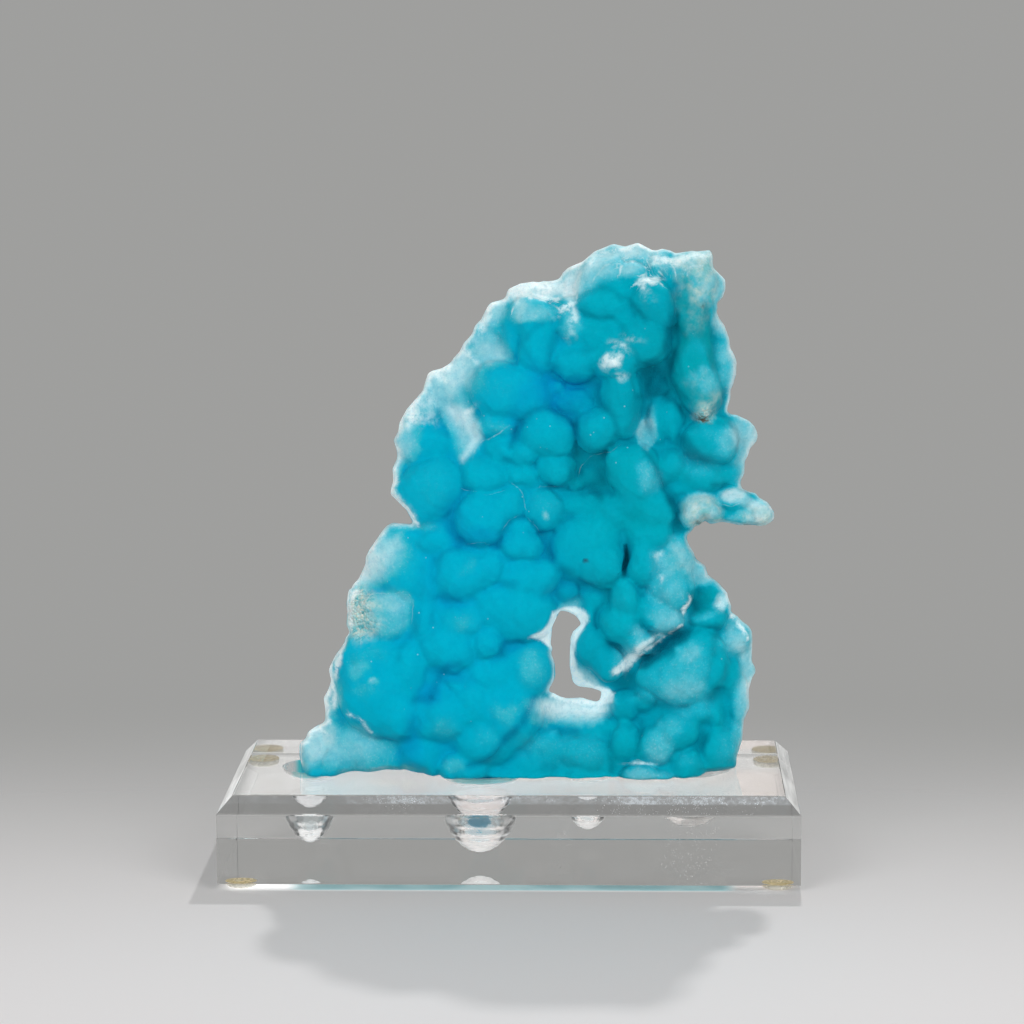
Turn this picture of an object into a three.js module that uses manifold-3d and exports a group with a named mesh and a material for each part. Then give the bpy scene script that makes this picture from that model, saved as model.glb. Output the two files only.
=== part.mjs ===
// A botryoidal hemimorphite specimen standing on a clear bevelled block with four
// stick-on bumper feet. Millimetres, +Z up, the front faces -Y.
// The origin is the centre of the plane that the feet stand on.
import * as THREE from 'three';
import { mergeVertices } from 'three/addons/utils/BufferGeometryUtils.js';
import Module from 'manifold-3d';

const wasm = await Module();
wasm.setup();

// ---------------------------------------------------------------- driving dimensions
const BASE_W = 165.1;          // block width, X (6.5 in)
const BASE_D = 76.2;           // block depth, Y (3 in)
const BASE_T = 25.05;          // block thickness, Z (1 in sheet)
const BEVEL_H = 4.4;           // bevel, measured across the top face
const BEVEL_V = 4.68;          // bevel, measured down the side
const FOOT_R = 4.6;            // bumper disc radius
const FOOT_T = 1.8;            // block underside above the shelf
const FOOT_INSET = 6.3;        // disc centre from each side of the block
const GAP = 0.3;               // clearance between pieces that meet
const TOP = FOOT_T + BASE_T;   // top face of the block
const SEAT = TOP + GAP;        // underside of the specimen

// Ball-milled pockets in the top face: centre x, y, half width x, half width y, depth.
const POCKETS = [
  [-58.4, 0.5, 9.0, 8.6, 19.2],
  [-8.9, -4.0, 12.4, 10.6, 21.2],
  [22.2, -4.0, 7.6, 7.4, 14.4],
  [51.8, 1.5, 12.6, 7.0, 14.6],
];
// The specimen's roots, one in each pocket: centre x, y, half width x, half width y, lowest z.
const ROOTS = [
  [-57.2, 0.6, 3.9, 4.6, 13.4],
  [-9.2, -4.0, 8.4, 7.2, 9.4],
  [22.2, -4.0, 4.6, 4.6, 17.6],
  [50.5, 1.5, 8.0, 4.4, 17.0],
];
const ROOT_LIP = 1.0;          // a root's flat top inside the specimen, above its underside

// The specimen's outline as (x, z), on the plane y = 0, and the outline of its window.
const OUTLINE = [
  [-62.3, 29.6], [-62.2, 33.6], [-59.8, 37.2], [-54.6, 40.8], [-55.0, 47.4], [-53.0, 51.5], [-53.1, 56.6],
  [-47.0, 67.0], [-48.0, 69.1], [-47.2, 79.5], [-44.3, 82.7], [-40.9, 91.6], [-36.7, 97.6], [-34.1, 99.3],
  [-28.2, 99.2], [-30.0, 102.9], [-34.7, 107.7], [-34.0, 115.3], [-32.6, 118.3], [-33.6, 123.5], [-31.8, 128.7],
  [-25.1, 137.7], [-23.5, 142.8], [-16.8, 146.0], [-6.1, 162.3], [-1.6, 164.2], [-0.0, 167.2], [3.1, 168.6],
  [14.5, 170.1], [16.8, 173.1], [29.7, 179.9], [33.1, 179.1], [36.8, 180.2], [41.1, 178.0], [43.6, 178.5],
  [47.3, 177.1], [57.1, 178.0], [58.3, 172.9], [61.7, 169.5], [61.7, 166.6], [59.3, 162.9], [59.2, 160.3],
  [61.4, 156.6], [65.0, 146.2], [64.9, 142.5], [62.2, 132.1], [63.2, 130.8], [68.6, 129.0], [71.1, 125.4],
  [71.1, 123.7], [67.5, 117.3], [66.3, 110.3], [74.1, 105.3], [76.1, 101.2], [73.7, 98.5], [71.1, 98.3],
  [61.0, 99.6], [57.3, 99.0], [56.1, 100.1], [53.3, 98.5], [50.8, 95.1], [53.5, 88.6], [56.2, 86.7],
  [57.0, 83.9], [62.7, 78.6], [63.7, 73.0], [69.7, 67.7], [69.8, 58.5], [70.9, 55.0], [69.0, 50.2],
  [69.2, 44.5], [67.6, 41.0], [65.5, 27.2], [57.0, 24.9], [53.5, 16.9], [-20.6, 16.8], [-26.4, 24.1],
  [-31.7, 25.8], [-42.3, 24.5], [-46.4, 25.0], [-49.9, 23.5], [-55.1, 16.7], [-61.9, 16.7],
];
const WINDOW = [
  [10.8, 49.8], [16.1, 47.4], [20.5, 47.6], [24.3, 46.4], [25.8, 47.0], [26.2, 49.0], [23.1, 50.5],
  [19.6, 50.9], [17.8, 52.5], [16.9, 57.3], [17.2, 65.3], [20.4, 69.5], [18.8, 71.9], [15.1, 73.4],
  [14.1, 73.3], [12.0, 68.9], [11.5, 60.8], [12.8, 54.6],
];
// The rims lean a little: the outline's walls all run towards this far point.
const APEX = [32.8, -957.3, 263.7];
const REACH = 32;              // half depth of the trimming outline
const SHEET_FRONT = -1.6, SHEET_BACK = 5.4;   // the thin crust between and behind the lumps
const RIM_THICK = 4.0;         // half thickness that the crust keeps right at its rim
const RIM_ROUND = 9.0;         // the rim rounds off over this width
const FULL_THICK = 21.0;       // and reaches at most this half thickness
const GRID_X = 39, GRID_Z = 44;               // cells of the relief
const BLEND = 1.2;             // width of the soft crease between two lumps

// Ellipsoid lumps: centre x, y, z, half sizes x, y, z, lean in degrees (top towards +X).
// Broad masses under the front lumps.
const MASSES = [
  [25.9, 4.5, 153.3, 22.1, 13.0, 19.2, 0], [0.3, 4.5, 111.7, 28.5, 14.0, 21.5, 0],
  [-19.5, 4.5, 65.2, 23.8, 17.0, 28.5, 20], [-22.7, 4.0, 42.3, 23.8, 17.0, 19.2, 0],
  [29.3, 4.0, 93.5, 19.2, 13.0, 17.4, 0], [51.4, 3.0, 46.2, 15.7, 12.0, 20.9, 0],
  [16.9, 1.5, 26.1, 37.6, 13.0, 10.4, 0], [54.6, 4.0, 148.9, 8.7, 9.0, 25.5, 0],
];
// Rounded lumps of the front, from the top down.
const FRONT = [
  [18.2, 0.5, 167.8, 4.4, 5.0, 6.6, 0], [26.0, -2.5, 170.1, 7.2, 6.5, 6.9, 0],
  [29.7, -4.8, 171.5, 5.3, 5.0, 5.3, 0], [29.7, -0.5, 175.6, 5.0, 5.0, 3.9, 0],
  [36.8, 0.0, 176.1, 4.4, 5.0, 3.8, 0], [35.4, -5.6, 170.9, 4.5, 5.0, 4.7, 0],
  [43.3, -2.6, 173.5, 4.1, 5.0, 4.4, 0], [41.6, -5.7, 172.4, 2.5, 3.5, 2.8, 0],
  [46.1, -5.5, 171.2, 2.5, 3.5, 3.1, 0], [23.1, -0.0, 174.7, 4.1, 4.5, 3.8, 0],
  [32.2, -5.6, 167.0, 5.3, 5.0, 3.8, 0], [22.0, -4.2, 167.1, 3.1, 4.0, 4.4, 0],
  [27.7, -7.0, 163.7, 8.8, 5.0, 5.2, 0], [32.2, -6.6, 159.4, 5.6, 5.0, 3.8, 0],
  [41.0, -8.5, 164.4, 6.6, 6.5, 6.9, 0], [43.8, -8.6, 160.7, 3.9, 5.0, 5.3, -10],
  [38.2, -9.4, 153.1, 7.5, 7.0, 7.2, 0], [30.5, -9.1, 148.3, 6.6, 6.5, 6.6, 0],
  [32.2, -8.8, 135.6, 6.2, 7.0, 10.9, -4], [26.0, -6.9, 154.9, 8.4, 5.5, 5.3, 0],
  [23.1, -7.3, 149.8, 6.9, 5.5, 4.4, 0], [7.1, 0.8, 166.4, 10.1, 4.0, 3.2, 0],
  [14.5, -0.3, 163.9, 5.0, 4.5, 3.8, -30], [6.9, -3.9, 159.2, 7.1, 6.5, 6.6, 0],
  [14.6, -4.9, 161.0, 6.3, 4.5, 3.1, -28], [18.3, -6.1, 156.2, 5.9, 5.5, 5.0, 0],
  [8.3, -6.2, 151.4, 5.8, 6.0, 8.8, 0], [1.1, -2.6, 153.9, 3.1, 5.0, 6.9, 0],
  [19.4, -7.0, 147.8, 7.5, 6.0, 6.3, 0], [18.5, -5.5, 135.2, 7.5, 5.5, 5.3, 0],
  [13.4, -4.9, 140.0, 3.8, 4.5, 3.1, 0], [25.1, -9.5, 127.7, 6.7, 6.3, 7.0, 0],
  [34.5, -5.0, 126.5, 4.4, 4.5, 3.8, 0], [10.5, -7.6, 126.3, 8.4, 6.8, 7.2, 0],
  [4.8, -7.6, 121.1, 4.8, 5.0, 4.1, 0], [13.6, -7.5, 116.7, 5.9, 5.5, 5.3, 0],
  [3.3, -6.1, 114.5, 5.9, 5.5, 4.4, 0], [-1.7, -6.0, 138.5, 10.6, 7.0, 9.1, 0],
  [4.8, -5.6, 137.6, 8.5, 7.0, 8.5, 0], [-3.5, -5.8, 128.9, 6.0, 5.0, 4.1, 0],
  [-8.5, 0.8, 152.3, 8.2, 5.0, 12.6, 28], [-3.5, -0.1, 158.8, 4.1, 4.5, 5.0, 0],
  [-16.6, 0.6, 139.4, 8.2, 5.0, 7.6, 0], [-25.8, -1.2, 133.0, 6.0, 5.0, 7.6, 12],
  [-12.6, -1.1, 132.9, 3.5, 4.5, 9.4, -32], [-24.7, -2.7, 122.2, 8.8, 5.5, 6.9, 0],
  [-22.6, -6.1, 110.2, 9.6, 6.5, 9.9, 0], [-25.9, -4.2, 107.5, 10.7, 6.0, 9.4, 0],
  [-7.3, -6.8, 114.6, 8.1, 6.0, 5.6, 0], [-1.3, -5.7, 121.7, 6.3, 5.5, 5.0, 30],
  [-7.9, -8.4, 102.4, 8.6, 7.0, 8.7, 0], [-0.4, -7.6, 106.1, 5.8, 6.0, 5.6, 0],
  [-20.2, -5.2, 95.2, 7.2, 6.0, 6.6, 0], [-27.5, -3.4, 95.4, 6.3, 5.0, 4.1, 0],
  [23.6, -2.7, 113.7, 4.7, 4.5, 5.3, 0], [19.3, -4.4, 111.9, 3.3, 3.8, 3.3, 0],
  [27.9, -4.0, 117.9, 3.5, 4.0, 3.1, 0], [10.1, -7.4, 104.8, 6.4, 6.0, 6.6, 0],
  [29.3, -5.2, 103.0, 10.7, 6.0, 6.3, 0], [19.3, -4.8, 105.3, 5.6, 5.0, 3.8, 0],
  [22.1, -6.5, 93.9, 11.0, 6.5, 10.3, 0], [23.6, -7.6, 96.2, 7.5, 6.0, 6.3, 0],
  [26.2, -8.5, 89.0, 7.3, 6.5, 7.0, 0], [3.3, -8.8, 94.6, 6.7, 6.0, 5.6, 0],
  [3.2, -7.0, 99.5, 5.3, 5.0, 3.8, 0], [4.6, -7.7, 84.2, 9.1, 6.5, 7.5, 0],
  [10.4, -8.4, 85.8, 4.4, 5.0, 5.6, 10], [-12.0, -9.1, 86.2, 10.5, 6.5, 8.4, 0],
  [-5.1, -9.3, 88.3, 5.3, 5.5, 6.2, 0], [-23.6, -7.5, 83.0, 3.8, 5.5, 7.5, 6],
  [16.0, -3.6, 80.8, 5.0, 5.0, 4.7, 0], [25.3, -4.2, 78.3, 5.0, 5.0, 4.4, 0],
  [11.1, -4.0, 76.4, 4.7, 5.0, 3.8, 0], [36.5, -7.4, 114.7, 7.7, 6.8, 9.2, 0],
  [31.6, -7.8, 117.1, 4.4, 5.0, 6.3, 0], [41.1, -6.8, 104.4, 6.9, 6.0, 6.3, 10],
  [35.6, -6.2, 107.0, 6.3, 6.0, 5.0, 0], [38.2, -8.4, 89.3, 5.3, 6.0, 6.6, 0],
  [40.2, -6.6, 97.1, 7.5, 6.0, 5.6, 0], [46.2, -8.8, 81.2, 7.0, 6.0, 5.9, 0],
  [47.7, -6.1, 89.5, 5.9, 5.5, 6.6, 0], [50.0, -3.9, 94.9, 3.1, 4.5, 3.8, 0],
  [33.0, -10.2, 80.3, 4.4, 5.2, 6.2, 0], [31.9, -8.4, 71.8, 5.8, 6.0, 6.2, 0],
  [38.8, -7.9, 76.3, 5.6, 5.5, 4.4, 0], [43.1, -8.9, 73.6, 7.2, 5.5, 4.7, 18],
  [36.8, -8.3, 66.4, 5.9, 5.5, 4.1, 26], [23.8, -6.0, 63.6, 5.3, 6.0, 6.6, 0],
  [27.8, -7.3, 59.2, 5.3, 5.5, 5.3, 0], [23.5, -3.9, 73.8, 2.8, 4.5, 4.4, 0],
  [53.8, -2.4, 86.1, 3.1, 4.0, 3.5, 0], [58.2, -1.6, 80.4, 4.1, 4.0, 2.8, -30],
  [53.8, -3.6, 170.1, 6.0, 6.0, 6.0, 0], [49.3, -3.6, 172.1, 5.0, 5.0, 5.3, 0],
  [53.5, -2.9, 174.9, 6.3, 4.5, 3.5, 0], [52.2, -0.7, 176.4, 6.9, 3.5, 2.2, 0],
  [59.0, -0.9, 167.0, 3.3, 4.5, 4.9, 0], [52.7, -4.5, 159.1, 5.8, 7.5, 11.3, 0],
  [51.5, -5.2, 165.5, 5.0, 6.0, 5.6, 0], [52.2, -4.6, 145.4, 6.9, 8.0, 12.5, -4],
  [54.7, -5.8, 139.2, 5.6, 7.0, 8.5, -6], [55.6, -6.8, 134.8, 3.1, 5.0, 4.7, 0],
  [60.5, -1.0, 154.4, 3.0, 4.0, 6.0, -14], [61.0, -2.6, 143.4, 4.2, 5.0, 6.9, 0],
  [60.6, -1.4, 134.6, 2.8, 4.0, 5.3, 8], [62.2, -1.2, 149.0, 2.8, 4.0, 3.8, 0],
  [41.4, -3.1, 140.0, 4.1, 4.5, 3.9, 0], [42.2, -2.6, 144.6, 3.8, 4.0, 3.1, 0],
  [41.7, -3.2, 129.4, 3.3, 5.0, 8.8, 0], [38.8, -2.9, 124.4, 3.5, 4.5, 4.4, 0],
  [46.2, -3.0, 129.6, 4.1, 5.0, 7.5, -8], [66.4, 0.7, 124.4, 5.0, 4.5, 6.0, 0],
  [57.6, -5.7, 124.2, 8.5, 6.5, 7.2, 0], [45.7, -5.1, 116.9, 5.6, 5.5, 6.0, 0],
  [55.1, -4.4, 113.6, 8.5, 6.0, 4.4, 0], [62.3, -2.6, 113.9, 5.0, 5.0, 5.3, 0],
  [50.0, -4.2, 110.1, 6.3, 5.0, 3.8, 0], [54.8, -7.6, 103.7, 6.7, 6.0, 6.3, 0],
  [64.6, -5.4, 107.4, 5.2, 5.0, 3.9, 0], [62.3, -4.6, 103.5, 3.1, 4.0, 3.1, 0],
  [66.0, -5.0, 103.0, 4.4, 4.0, 2.8, 0], [71.7, -5.1, 103.3, 4.5, 4.5, 3.9, 0],
  [56.7, -4.7, 72.5, 6.1, 5.5, 4.1, 0], [56.1, -2.4, 78.8, 5.0, 5.0, 4.7, 0],
  [61.6, -2.4, 75.3, 2.8, 4.0, 4.1, 0], [52.9, -6.3, 61.9, 8.8, 6.5, 8.5, 0],
  [46.9, -6.9, 54.7, 11.0, 6.5, 7.8, 8], [50.6, -7.3, 58.0, 9.4, 6.5, 9.4, 0],
  [59.0, -6.8, 57.9, 3.9, 5.0, 5.9, 0], [64.3, -2.4, 65.8, 5.7, 5.0, 5.3, 0],
  [63.2, -3.0, 55.6, 3.5, 5.0, 6.0, 0], [65.5, -2.0, 47.4, 3.5, 5.0, 9.4, 0],
  [54.1, -6.6, 45.1, 4.7, 5.0, 3.8, 0], [58.8, -4.8, 43.5, 3.1, 5.0, 5.3, 0],
  [59.4, -7.0, 33.7, 5.0, 6.0, 6.6, 0], [63.2, -4.8, 33.7, 3.1, 5.0, 6.3, 0],
  [42.0, -9.4, 35.4, 5.8, 6.0, 6.2, 0], [47.5, -8.8, 39.7, 6.9, 6.0, 6.2, 0],
  [50.9, -9.8, 29.6, 5.6, 6.0, 5.0, 0], [58.2, -7.6, 27.3, 6.9, 6.0, 3.8, 0],
  [33.0, -7.9, 36.2, 4.8, 5.5, 6.3, 0], [32.7, -5.4, 46.3, 4.7, 5.0, 5.0, 0],
  [37.7, -5.4, 48.1, 3.8, 5.0, 4.4, 0], [28.7, -7.1, 30.1, 4.4, 5.5, 5.0, 0],
  [20.9, -8.1, 32.7, 8.6, 6.5, 6.6, 0], [10.1, -6.7, 34.1, 8.1, 6.5, 6.9, 0],
  [5.5, -7.8, 29.0, 10.6, 7.0, 6.3, 0], [25.8, -3.6, 39.6, 6.3, 5.0, 3.8, 0],
  [15.6, -1.8, 40.7, 9.4, 5.0, 3.8, 0], [2.6, -9.6, 25.9, 13.1, 7.0, 4.1, 0],
  [20.0, -9.4, 25.8, 11.9, 7.0, 3.7, 0], [29.3, -11.0, 25.7, 6.2, 5.0, 2.8, 0],
  [45.5, -9.8, 25.4, 10.6, 7.0, 3.7, 0], [56.5, -9.2, 25.6, 8.1, 6.0, 3.1, 0],
  [37.6, -12.6, 27.3, 6.2, 5.0, 3.7, 0], [44.3, -13.0, 27.1, 3.4, 4.0, 2.5, 0],
  [-33.7, -3.1, 88.9, 10.7, 6.5, 11.6, 0], [-28.4, -4.9, 84.8, 8.2, 6.5, 9.4, 0],
  [-35.1, -6.7, 72.3, 7.8, 6.5, 8.4, 0], [-43.1, -4.4, 73.6, 4.7, 5.0, 8.2, 0],
  [-39.3, -6.9, 77.3, 4.4, 4.5, 3.4, 0], [-24.9, -6.9, 73.2, 5.3, 6.5, 7.5, 8],
  [-29.1, -8.0, 58.1, 8.1, 7.0, 10.6, 14], [-18.0, -9.2, 64.8, 9.1, 7.0, 8.7, 0],
  [-14.1, -9.1, 72.5, 7.5, 6.5, 5.6, 0], [-6.7, -9.6, 66.4, 5.0, 6.0, 5.3, 0],
  [-2.9, -8.5, 76.4, 8.7, 6.5, 6.9, 0], [3.7, -8.4, 74.7, 10.0, 7.0, 9.1, 0],
  [-40.1, -7.1, 61.7, 10.3, 6.5, 6.9, 0], [-37.2, -8.5, 52.0, 13.1, 7.5, 14.7, 0],
  [-32.0, -10.3, 45.3, 7.2, 6.5, 7.5, 0], [5.0, -7.4, 58.0, 8.1, 7.0, 8.9, 0],
  [-5.9, -8.3, 55.8, 8.4, 6.5, 6.9, 0], [-14.9, -8.1, 54.0, 6.3, 5.5, 3.8, 0],
  [-19.8, -10.4, 44.7, 9.0, 7.0, 8.7, 0], [-10.6, -9.6, 47.2, 7.5, 7.0, 8.1, 0],
  [-0.8, -9.8, 45.5, 10.3, 7.0, 11.2, 0], [-8.0, -10.6, 36.8, 9.4, 7.0, 8.1, 0],
  [-25.2, -9.0, 31.9, 6.9, 7.0, 7.2, 0], [-16.6, -13.5, 29.8, 4.2, 4.5, 4.2, 0],
  [-11.8, -11.3, 28.6, 6.2, 5.5, 4.4, 0], [-38.8, -6.2, 31.2, 7.5, 6.0, 7.5, 0],
  [-47.1, -4.6, 33.5, 8.2, 6.0, 7.5, 0], [-51.5, -8.4, 28.4, 5.3, 6.0, 5.9, 0],
  [-57.8, -5.9, 30.8, 4.7, 5.5, 6.9, 0], [-57.8, -10.2, 27.1, 4.4, 5.0, 3.1, 0],
  [-50.7, -2.6, 40.8, 4.4, 5.0, 4.4, 0], [-31.3, -6.4, 28.9, 4.4, 6.0, 5.6, 0],
];
// Rounded lumps of the back.
const BACK = [
  [37.5, 5.6, 174.0, 6.1, 4.4, 6.0, 0], [48.0, 6.5, 172.7, 5.2, 3.7, 4.8, 0],
  [27.3, 6.3, 171.8, 6.9, 5.0, 6.8, 0], [17.9, 5.8, 166.6, 5.9, 4.3, 5.5, 0],
  [55.2, 6.5, 166.0, 6.5, 4.7, 6.0, 0], [6.0, 8.6, 161.1, 6.6, 4.8, 6.7, 0],
  [38.9, 8.2, 153.5, 11.1, 8.0, 11.6, 0], [57.1, 8.1, 152.2, 6.3, 4.5, 7.1, 0],
  [19.0, 10.6, 150.7, 9.5, 6.9, 9.5, 0], [-5.3, 6.5, 150.6, 6.4, 4.6, 6.1, 0],
  [-13.8, 7.5, 142.6, 5.1, 3.7, 5.1, 0], [30.6, 12.2, 136.0, 8.5, 6.1, 9.0, 0],
  [1.1, 10.9, 135.8, 8.6, 6.2, 7.9, 0], [51.7, 5.3, 134.6, 10.5, 7.6, 9.8, 0],
  [-18.6, 6.3, 128.4, 11.4, 8.2, 11.9, 0], [15.1, 10.2, 127.4, 8.1, 5.8, 8.6, 0],
  [62.6, 6.2, 125.0, 6.5, 4.7, 6.5, 0], [42.3, 10.5, 121.8, 7.8, 5.6, 8.8, 0],
  [3.3, 10.3, 119.5, 9.5, 6.8, 9.6, 0], [53.2, 7.8, 113.7, 8.4, 6.1, 8.2, 0],
  [-25.5, 7.6, 113.3, 6.0, 4.3, 6.1, 0], [31.9, 9.0, 107.9, 10.6, 7.6, 9.7, 0],
  [-12.1, 7.5, 107.8, 10.7, 7.7, 11.3, 0], [59.4, 7.9, 104.6, 5.0, 3.6, 4.4, 0],
  [14.8, 9.0, 103.4, 11.3, 8.1, 11.1, 0], [69.0, 5.3, 103.1, 6.5, 4.7, 5.7, 0],
  [-24.1, 6.5, 101.5, 5.1, 3.7, 4.4, 0], [45.9, 5.4, 96.0, 6.1, 4.4, 6.5, 0],
  [-24.4, 8.7, 91.2, 7.0, 5.0, 6.1, 0], [-8.0, 10.9, 90.3, 8.5, 6.1, 7.6, 0],
  [-34.1, 8.8, 86.6, 6.7, 4.8, 7.2, 0], [46.3, 6.9, 86.3, 5.8, 4.2, 5.4, 0],
  [32.3, 9.3, 86.2, 8.5, 6.1, 8.6, 0], [13.2, 7.7, 82.1, 6.7, 4.8, 6.4, 0],
  [-20.9, 10.8, 77.5, 8.6, 6.2, 9.2, 0], [-39.3, 7.5, 73.5, 6.0, 4.3, 6.5, 0],
  [45.4, 8.6, 72.0, 8.0, 5.8, 7.5, 0], [56.5, 7.9, 71.7, 5.8, 4.1, 5.2, 0],
  [2.2, 5.9, 71.2, 9.3, 6.7, 10.6, 0], [30.8, 6.6, 70.9, 10.0, 7.2, 9.6, 0],
  [-29.1, 11.2, 66.5, 8.1, 5.9, 9.0, 0], [-15.6, 10.1, 64.1, 8.7, 6.3, 8.2, 0],
  [21.4, 6.1, 63.3, 5.4, 3.9, 5.7, 0], [65.6, 4.5, 61.9, 6.6, 4.8, 6.9, 0],
  [41.9, 10.6, 58.5, 8.6, 6.2, 7.4, 0], [55.2, 8.5, 57.4, 7.9, 5.7, 7.1, 0],
  [-39.9, 7.1, 56.2, 10.4, 7.5, 9.0, 0], [30.1, 7.3, 53.4, 5.0, 3.6, 4.8, 0],
  [-3.2, 7.2, 51.0, 11.3, 8.1, 9.7, 0], [-23.6, 9.3, 48.7, 9.4, 6.7, 8.2, 0],
  [60.6, 8.1, 48.1, 5.4, 3.9, 5.4, 0], [11.7, 6.0, 42.5, 6.2, 4.5, 6.0, 0],
  [33.1, 7.4, 42.5, 6.5, 4.7, 5.5, 0], [-45.3, 7.1, 41.9, 8.8, 6.4, 9.0, 0],
  [61.4, 7.3, 36.5, 5.2, 3.8, 6.0, 0], [43.0, 9.2, 34.2, 9.2, 6.7, 9.7, 0],
  [-30.1, 6.4, 32.6, 6.8, 4.9, 6.4, 0], [21.8, 7.7, 32.5, 10.1, 7.3, 11.5, 0],
  [-52.4, 8.3, 30.8, 6.6, 4.7, 7.1, 0], [-16.5, 7.6, 30.6, 9.4, 6.8, 8.5, 0],
  [55.4, 8.3, 29.9, 5.6, 4.0, 5.4, 0], [-41.0, 5.9, 29.8, 5.4, 3.9, 5.4, 0],
  [1.8, 5.2, 29.1, 11.1, 8.0, 11.7, 0],
];
// A narrow slit between two lumps, and the hollow under the broken ledge.
const HOLLOWS = [
  [33.2, -13.0, 90.7, 0.9, 6.5, 4.7, 8], [43.9, -13.5, 66.1, 8.6, 6.0, 1.8, -34],
  [52.2, -12.5, 76.7, 0.9, 4.5, 4.3, 16],
];

// ---------------------------------------------------------------- helpers
function solid(geometry) {
  const g = geometry.clone();
  g.deleteAttribute('normal');
  g.deleteAttribute('uv');
  const m = mergeVertices(g, 1e-4);
  const n = m.index ? m.index.array : Uint32Array.from({ length: m.attributes.position.count }, (_, i) => i);
  return new wasm.Manifold(new wasm.Mesh({
    numProp: 3,
    vertProperties: Float32Array.from(m.attributes.position.array),
    triVerts: Uint32Array.from(n),
  }));
}

function geometryOf(manifold) {
  const mesh = manifold.getMesh();
  const g = new THREE.BufferGeometry();
  const p = new Float32Array(mesh.numVert * 3);
  for (let i = 0; i < mesh.numVert; i++) {
    for (let k = 0; k < 3; k++) p[3 * i + k] = mesh.vertProperties[i * mesh.numProp + k];
  }
  g.setAttribute('position', new THREE.BufferAttribute(p, 3));
  g.setIndex(new THREE.BufferAttribute(Uint32Array.from(mesh.triVerts), 1));
  return g;
}

function ellipsoid([x, y, z, rx, ry, rz, lean]) {
  const g = new THREE.IcosahedronGeometry(1, 2);
  g.scale(rx, ry, rz);
  g.rotateY(THREE.MathUtils.degToRad(lean));
  g.translate(x, y, z);
  return solid(g);
}

// How far the lumps stand out at (x, z), measured along `side` (-1 is the front).
function relief(x, z, lumps, side, floor) {
  let h = side * floor;
  for (const [cx, cy, cz, rx, ry, rz, lean] of lumps) {
    const a = THREE.MathUtils.degToRad(lean), c = Math.cos(a), s = Math.sin(a);
    const u = (c * (x - cx) - s * (z - cz)) / rx, v = (s * (x - cx) + c * (z - cz)) / rz;
    const q = 1 - u * u - v * v;
    if (q <= 0) continue;
    const t = side * cy + ry * Math.sqrt(q);
    const k = Math.max(BLEND - Math.abs(h - t), 0) / BLEND;
    h = Math.max(h, t) + k * k * BLEND / 4;
  }
  return h;
}

// Distance from (x, z) to the nearest side of a closed outline, and whether it is inside.
function toOutline(x, z, outline) {
  let best = Infinity, inside = false;
  for (let i = 0, j = outline.length - 1; i < outline.length; j = i++) {
    const [ax, az] = outline[j], [bx, bz] = outline[i];
    const dx = bx - ax, dz = bz - az;
    const t = THREE.MathUtils.clamp(((x - ax) * dx + (z - az) * dz) / (dx * dx + dz * dz), 0, 1);
    best = Math.min(best, Math.hypot(x - ax - t * dx, z - az - t * dz));
    if ((az > z) !== (bz > z) && x < ax + (z - az) / dz * dx) inside = !inside;
  }
  return inside ? best : -best;
}

// A slab of the outline from y0 to y1, its walls running towards APEX.
function outlineSlab(outer, holes, y0, y1) {
  const shape = new THREE.Shape(outer.map(([x, z]) => new THREE.Vector2(x, z)));
  for (const hole of holes) shape.holes.push(new THREE.Path(hole.map(([x, z]) => new THREE.Vector2(x, z))));
  const g = new THREE.ExtrudeGeometry(shape, { depth: y1 - y0, bevelEnabled: false });
  g.rotateX(Math.PI / 2);              // the shape's y becomes z, its depth runs to -Y
  g.translate(0, y1, 0);
  const p = g.attributes.position;
  for (let i = 0; i < p.count; i++) {
    const y = p.getY(i);
    const s = (y - APEX[1]) / (0 - APEX[1]);
    p.setXYZ(i, APEX[0] + (p.getX(i) - APEX[0]) * s, y, APEX[2] + (p.getZ(i) - APEX[2]) * s);
  }
  return solid(g);
}

function box(x0, x1, y0, y1, z0, z1) {
  const g = new THREE.BoxGeometry(x1 - x0, y1 - y0, z1 - z0);
  g.translate((x0 + x1) / 2, (y0 + y1) / 2, (z0 + z1) / 2);
  return solid(g);
}

function bowl(x, y, z, a, b, c, around, down) {
  const g = new THREE.SphereGeometry(1, around, down);
  g.rotateX(Math.PI / 2);
  g.scale(a, b, c);
  g.translate(x, y, z);
  return solid(g);
}

function named(name, geometry, material) {
  geometry.computeVertexNormals();
  const mesh = new THREE.Mesh(geometry, material);
  mesh.name = name;
  return mesh;
}

// ---------------------------------------------------------------- specimen
// A box with a fine grid, its two large faces raised into the relief of the lumps.
const xs = OUTLINE.map((p) => p[0]), zs = OUTLINE.map((p) => p[1]);
const x0 = Math.min(...xs) - 3, x1 = Math.max(...xs) + 3, z0 = Math.min(...zs) - 2, z1 = Math.max(...zs) + 4;
const crust = new THREE.BoxGeometry(x1 - x0, 2, z1 - z0, GRID_X, 1, GRID_Z);
crust.translate((x0 + x1) / 2, 0, (z0 + z1) / 2);
const front = [...MASSES, ...FRONT];
const pos = crust.attributes.position;
for (let i = 0; i < pos.count; i++) {
  const x = pos.getX(i), z = pos.getZ(i);
  const inward = Math.max(0, Math.min(toOutline(x, z, OUTLINE), -toOutline(x, z, WINDOW)));
  const q = Math.min(inward / RIM_ROUND, 1);
  const limit = RIM_THICK + (FULL_THICK - RIM_THICK) * Math.sqrt(q * (2 - q));
  if (pos.getY(i) < 0) pos.setY(i, 0.5 - Math.min(relief(x, z, front, -1, SHEET_FRONT) + 0.5, limit));
  else pos.setY(i, 0.5 + Math.min(relief(x, z, BACK, 1, SHEET_BACK) - 0.5, limit));
}
let stone = solid(crust).intersect(outlineSlab(OUTLINE, [WINDOW], -REACH, REACH));
for (const h of HOLLOWS) stone = stone.subtract(ellipsoid(h));
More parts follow.
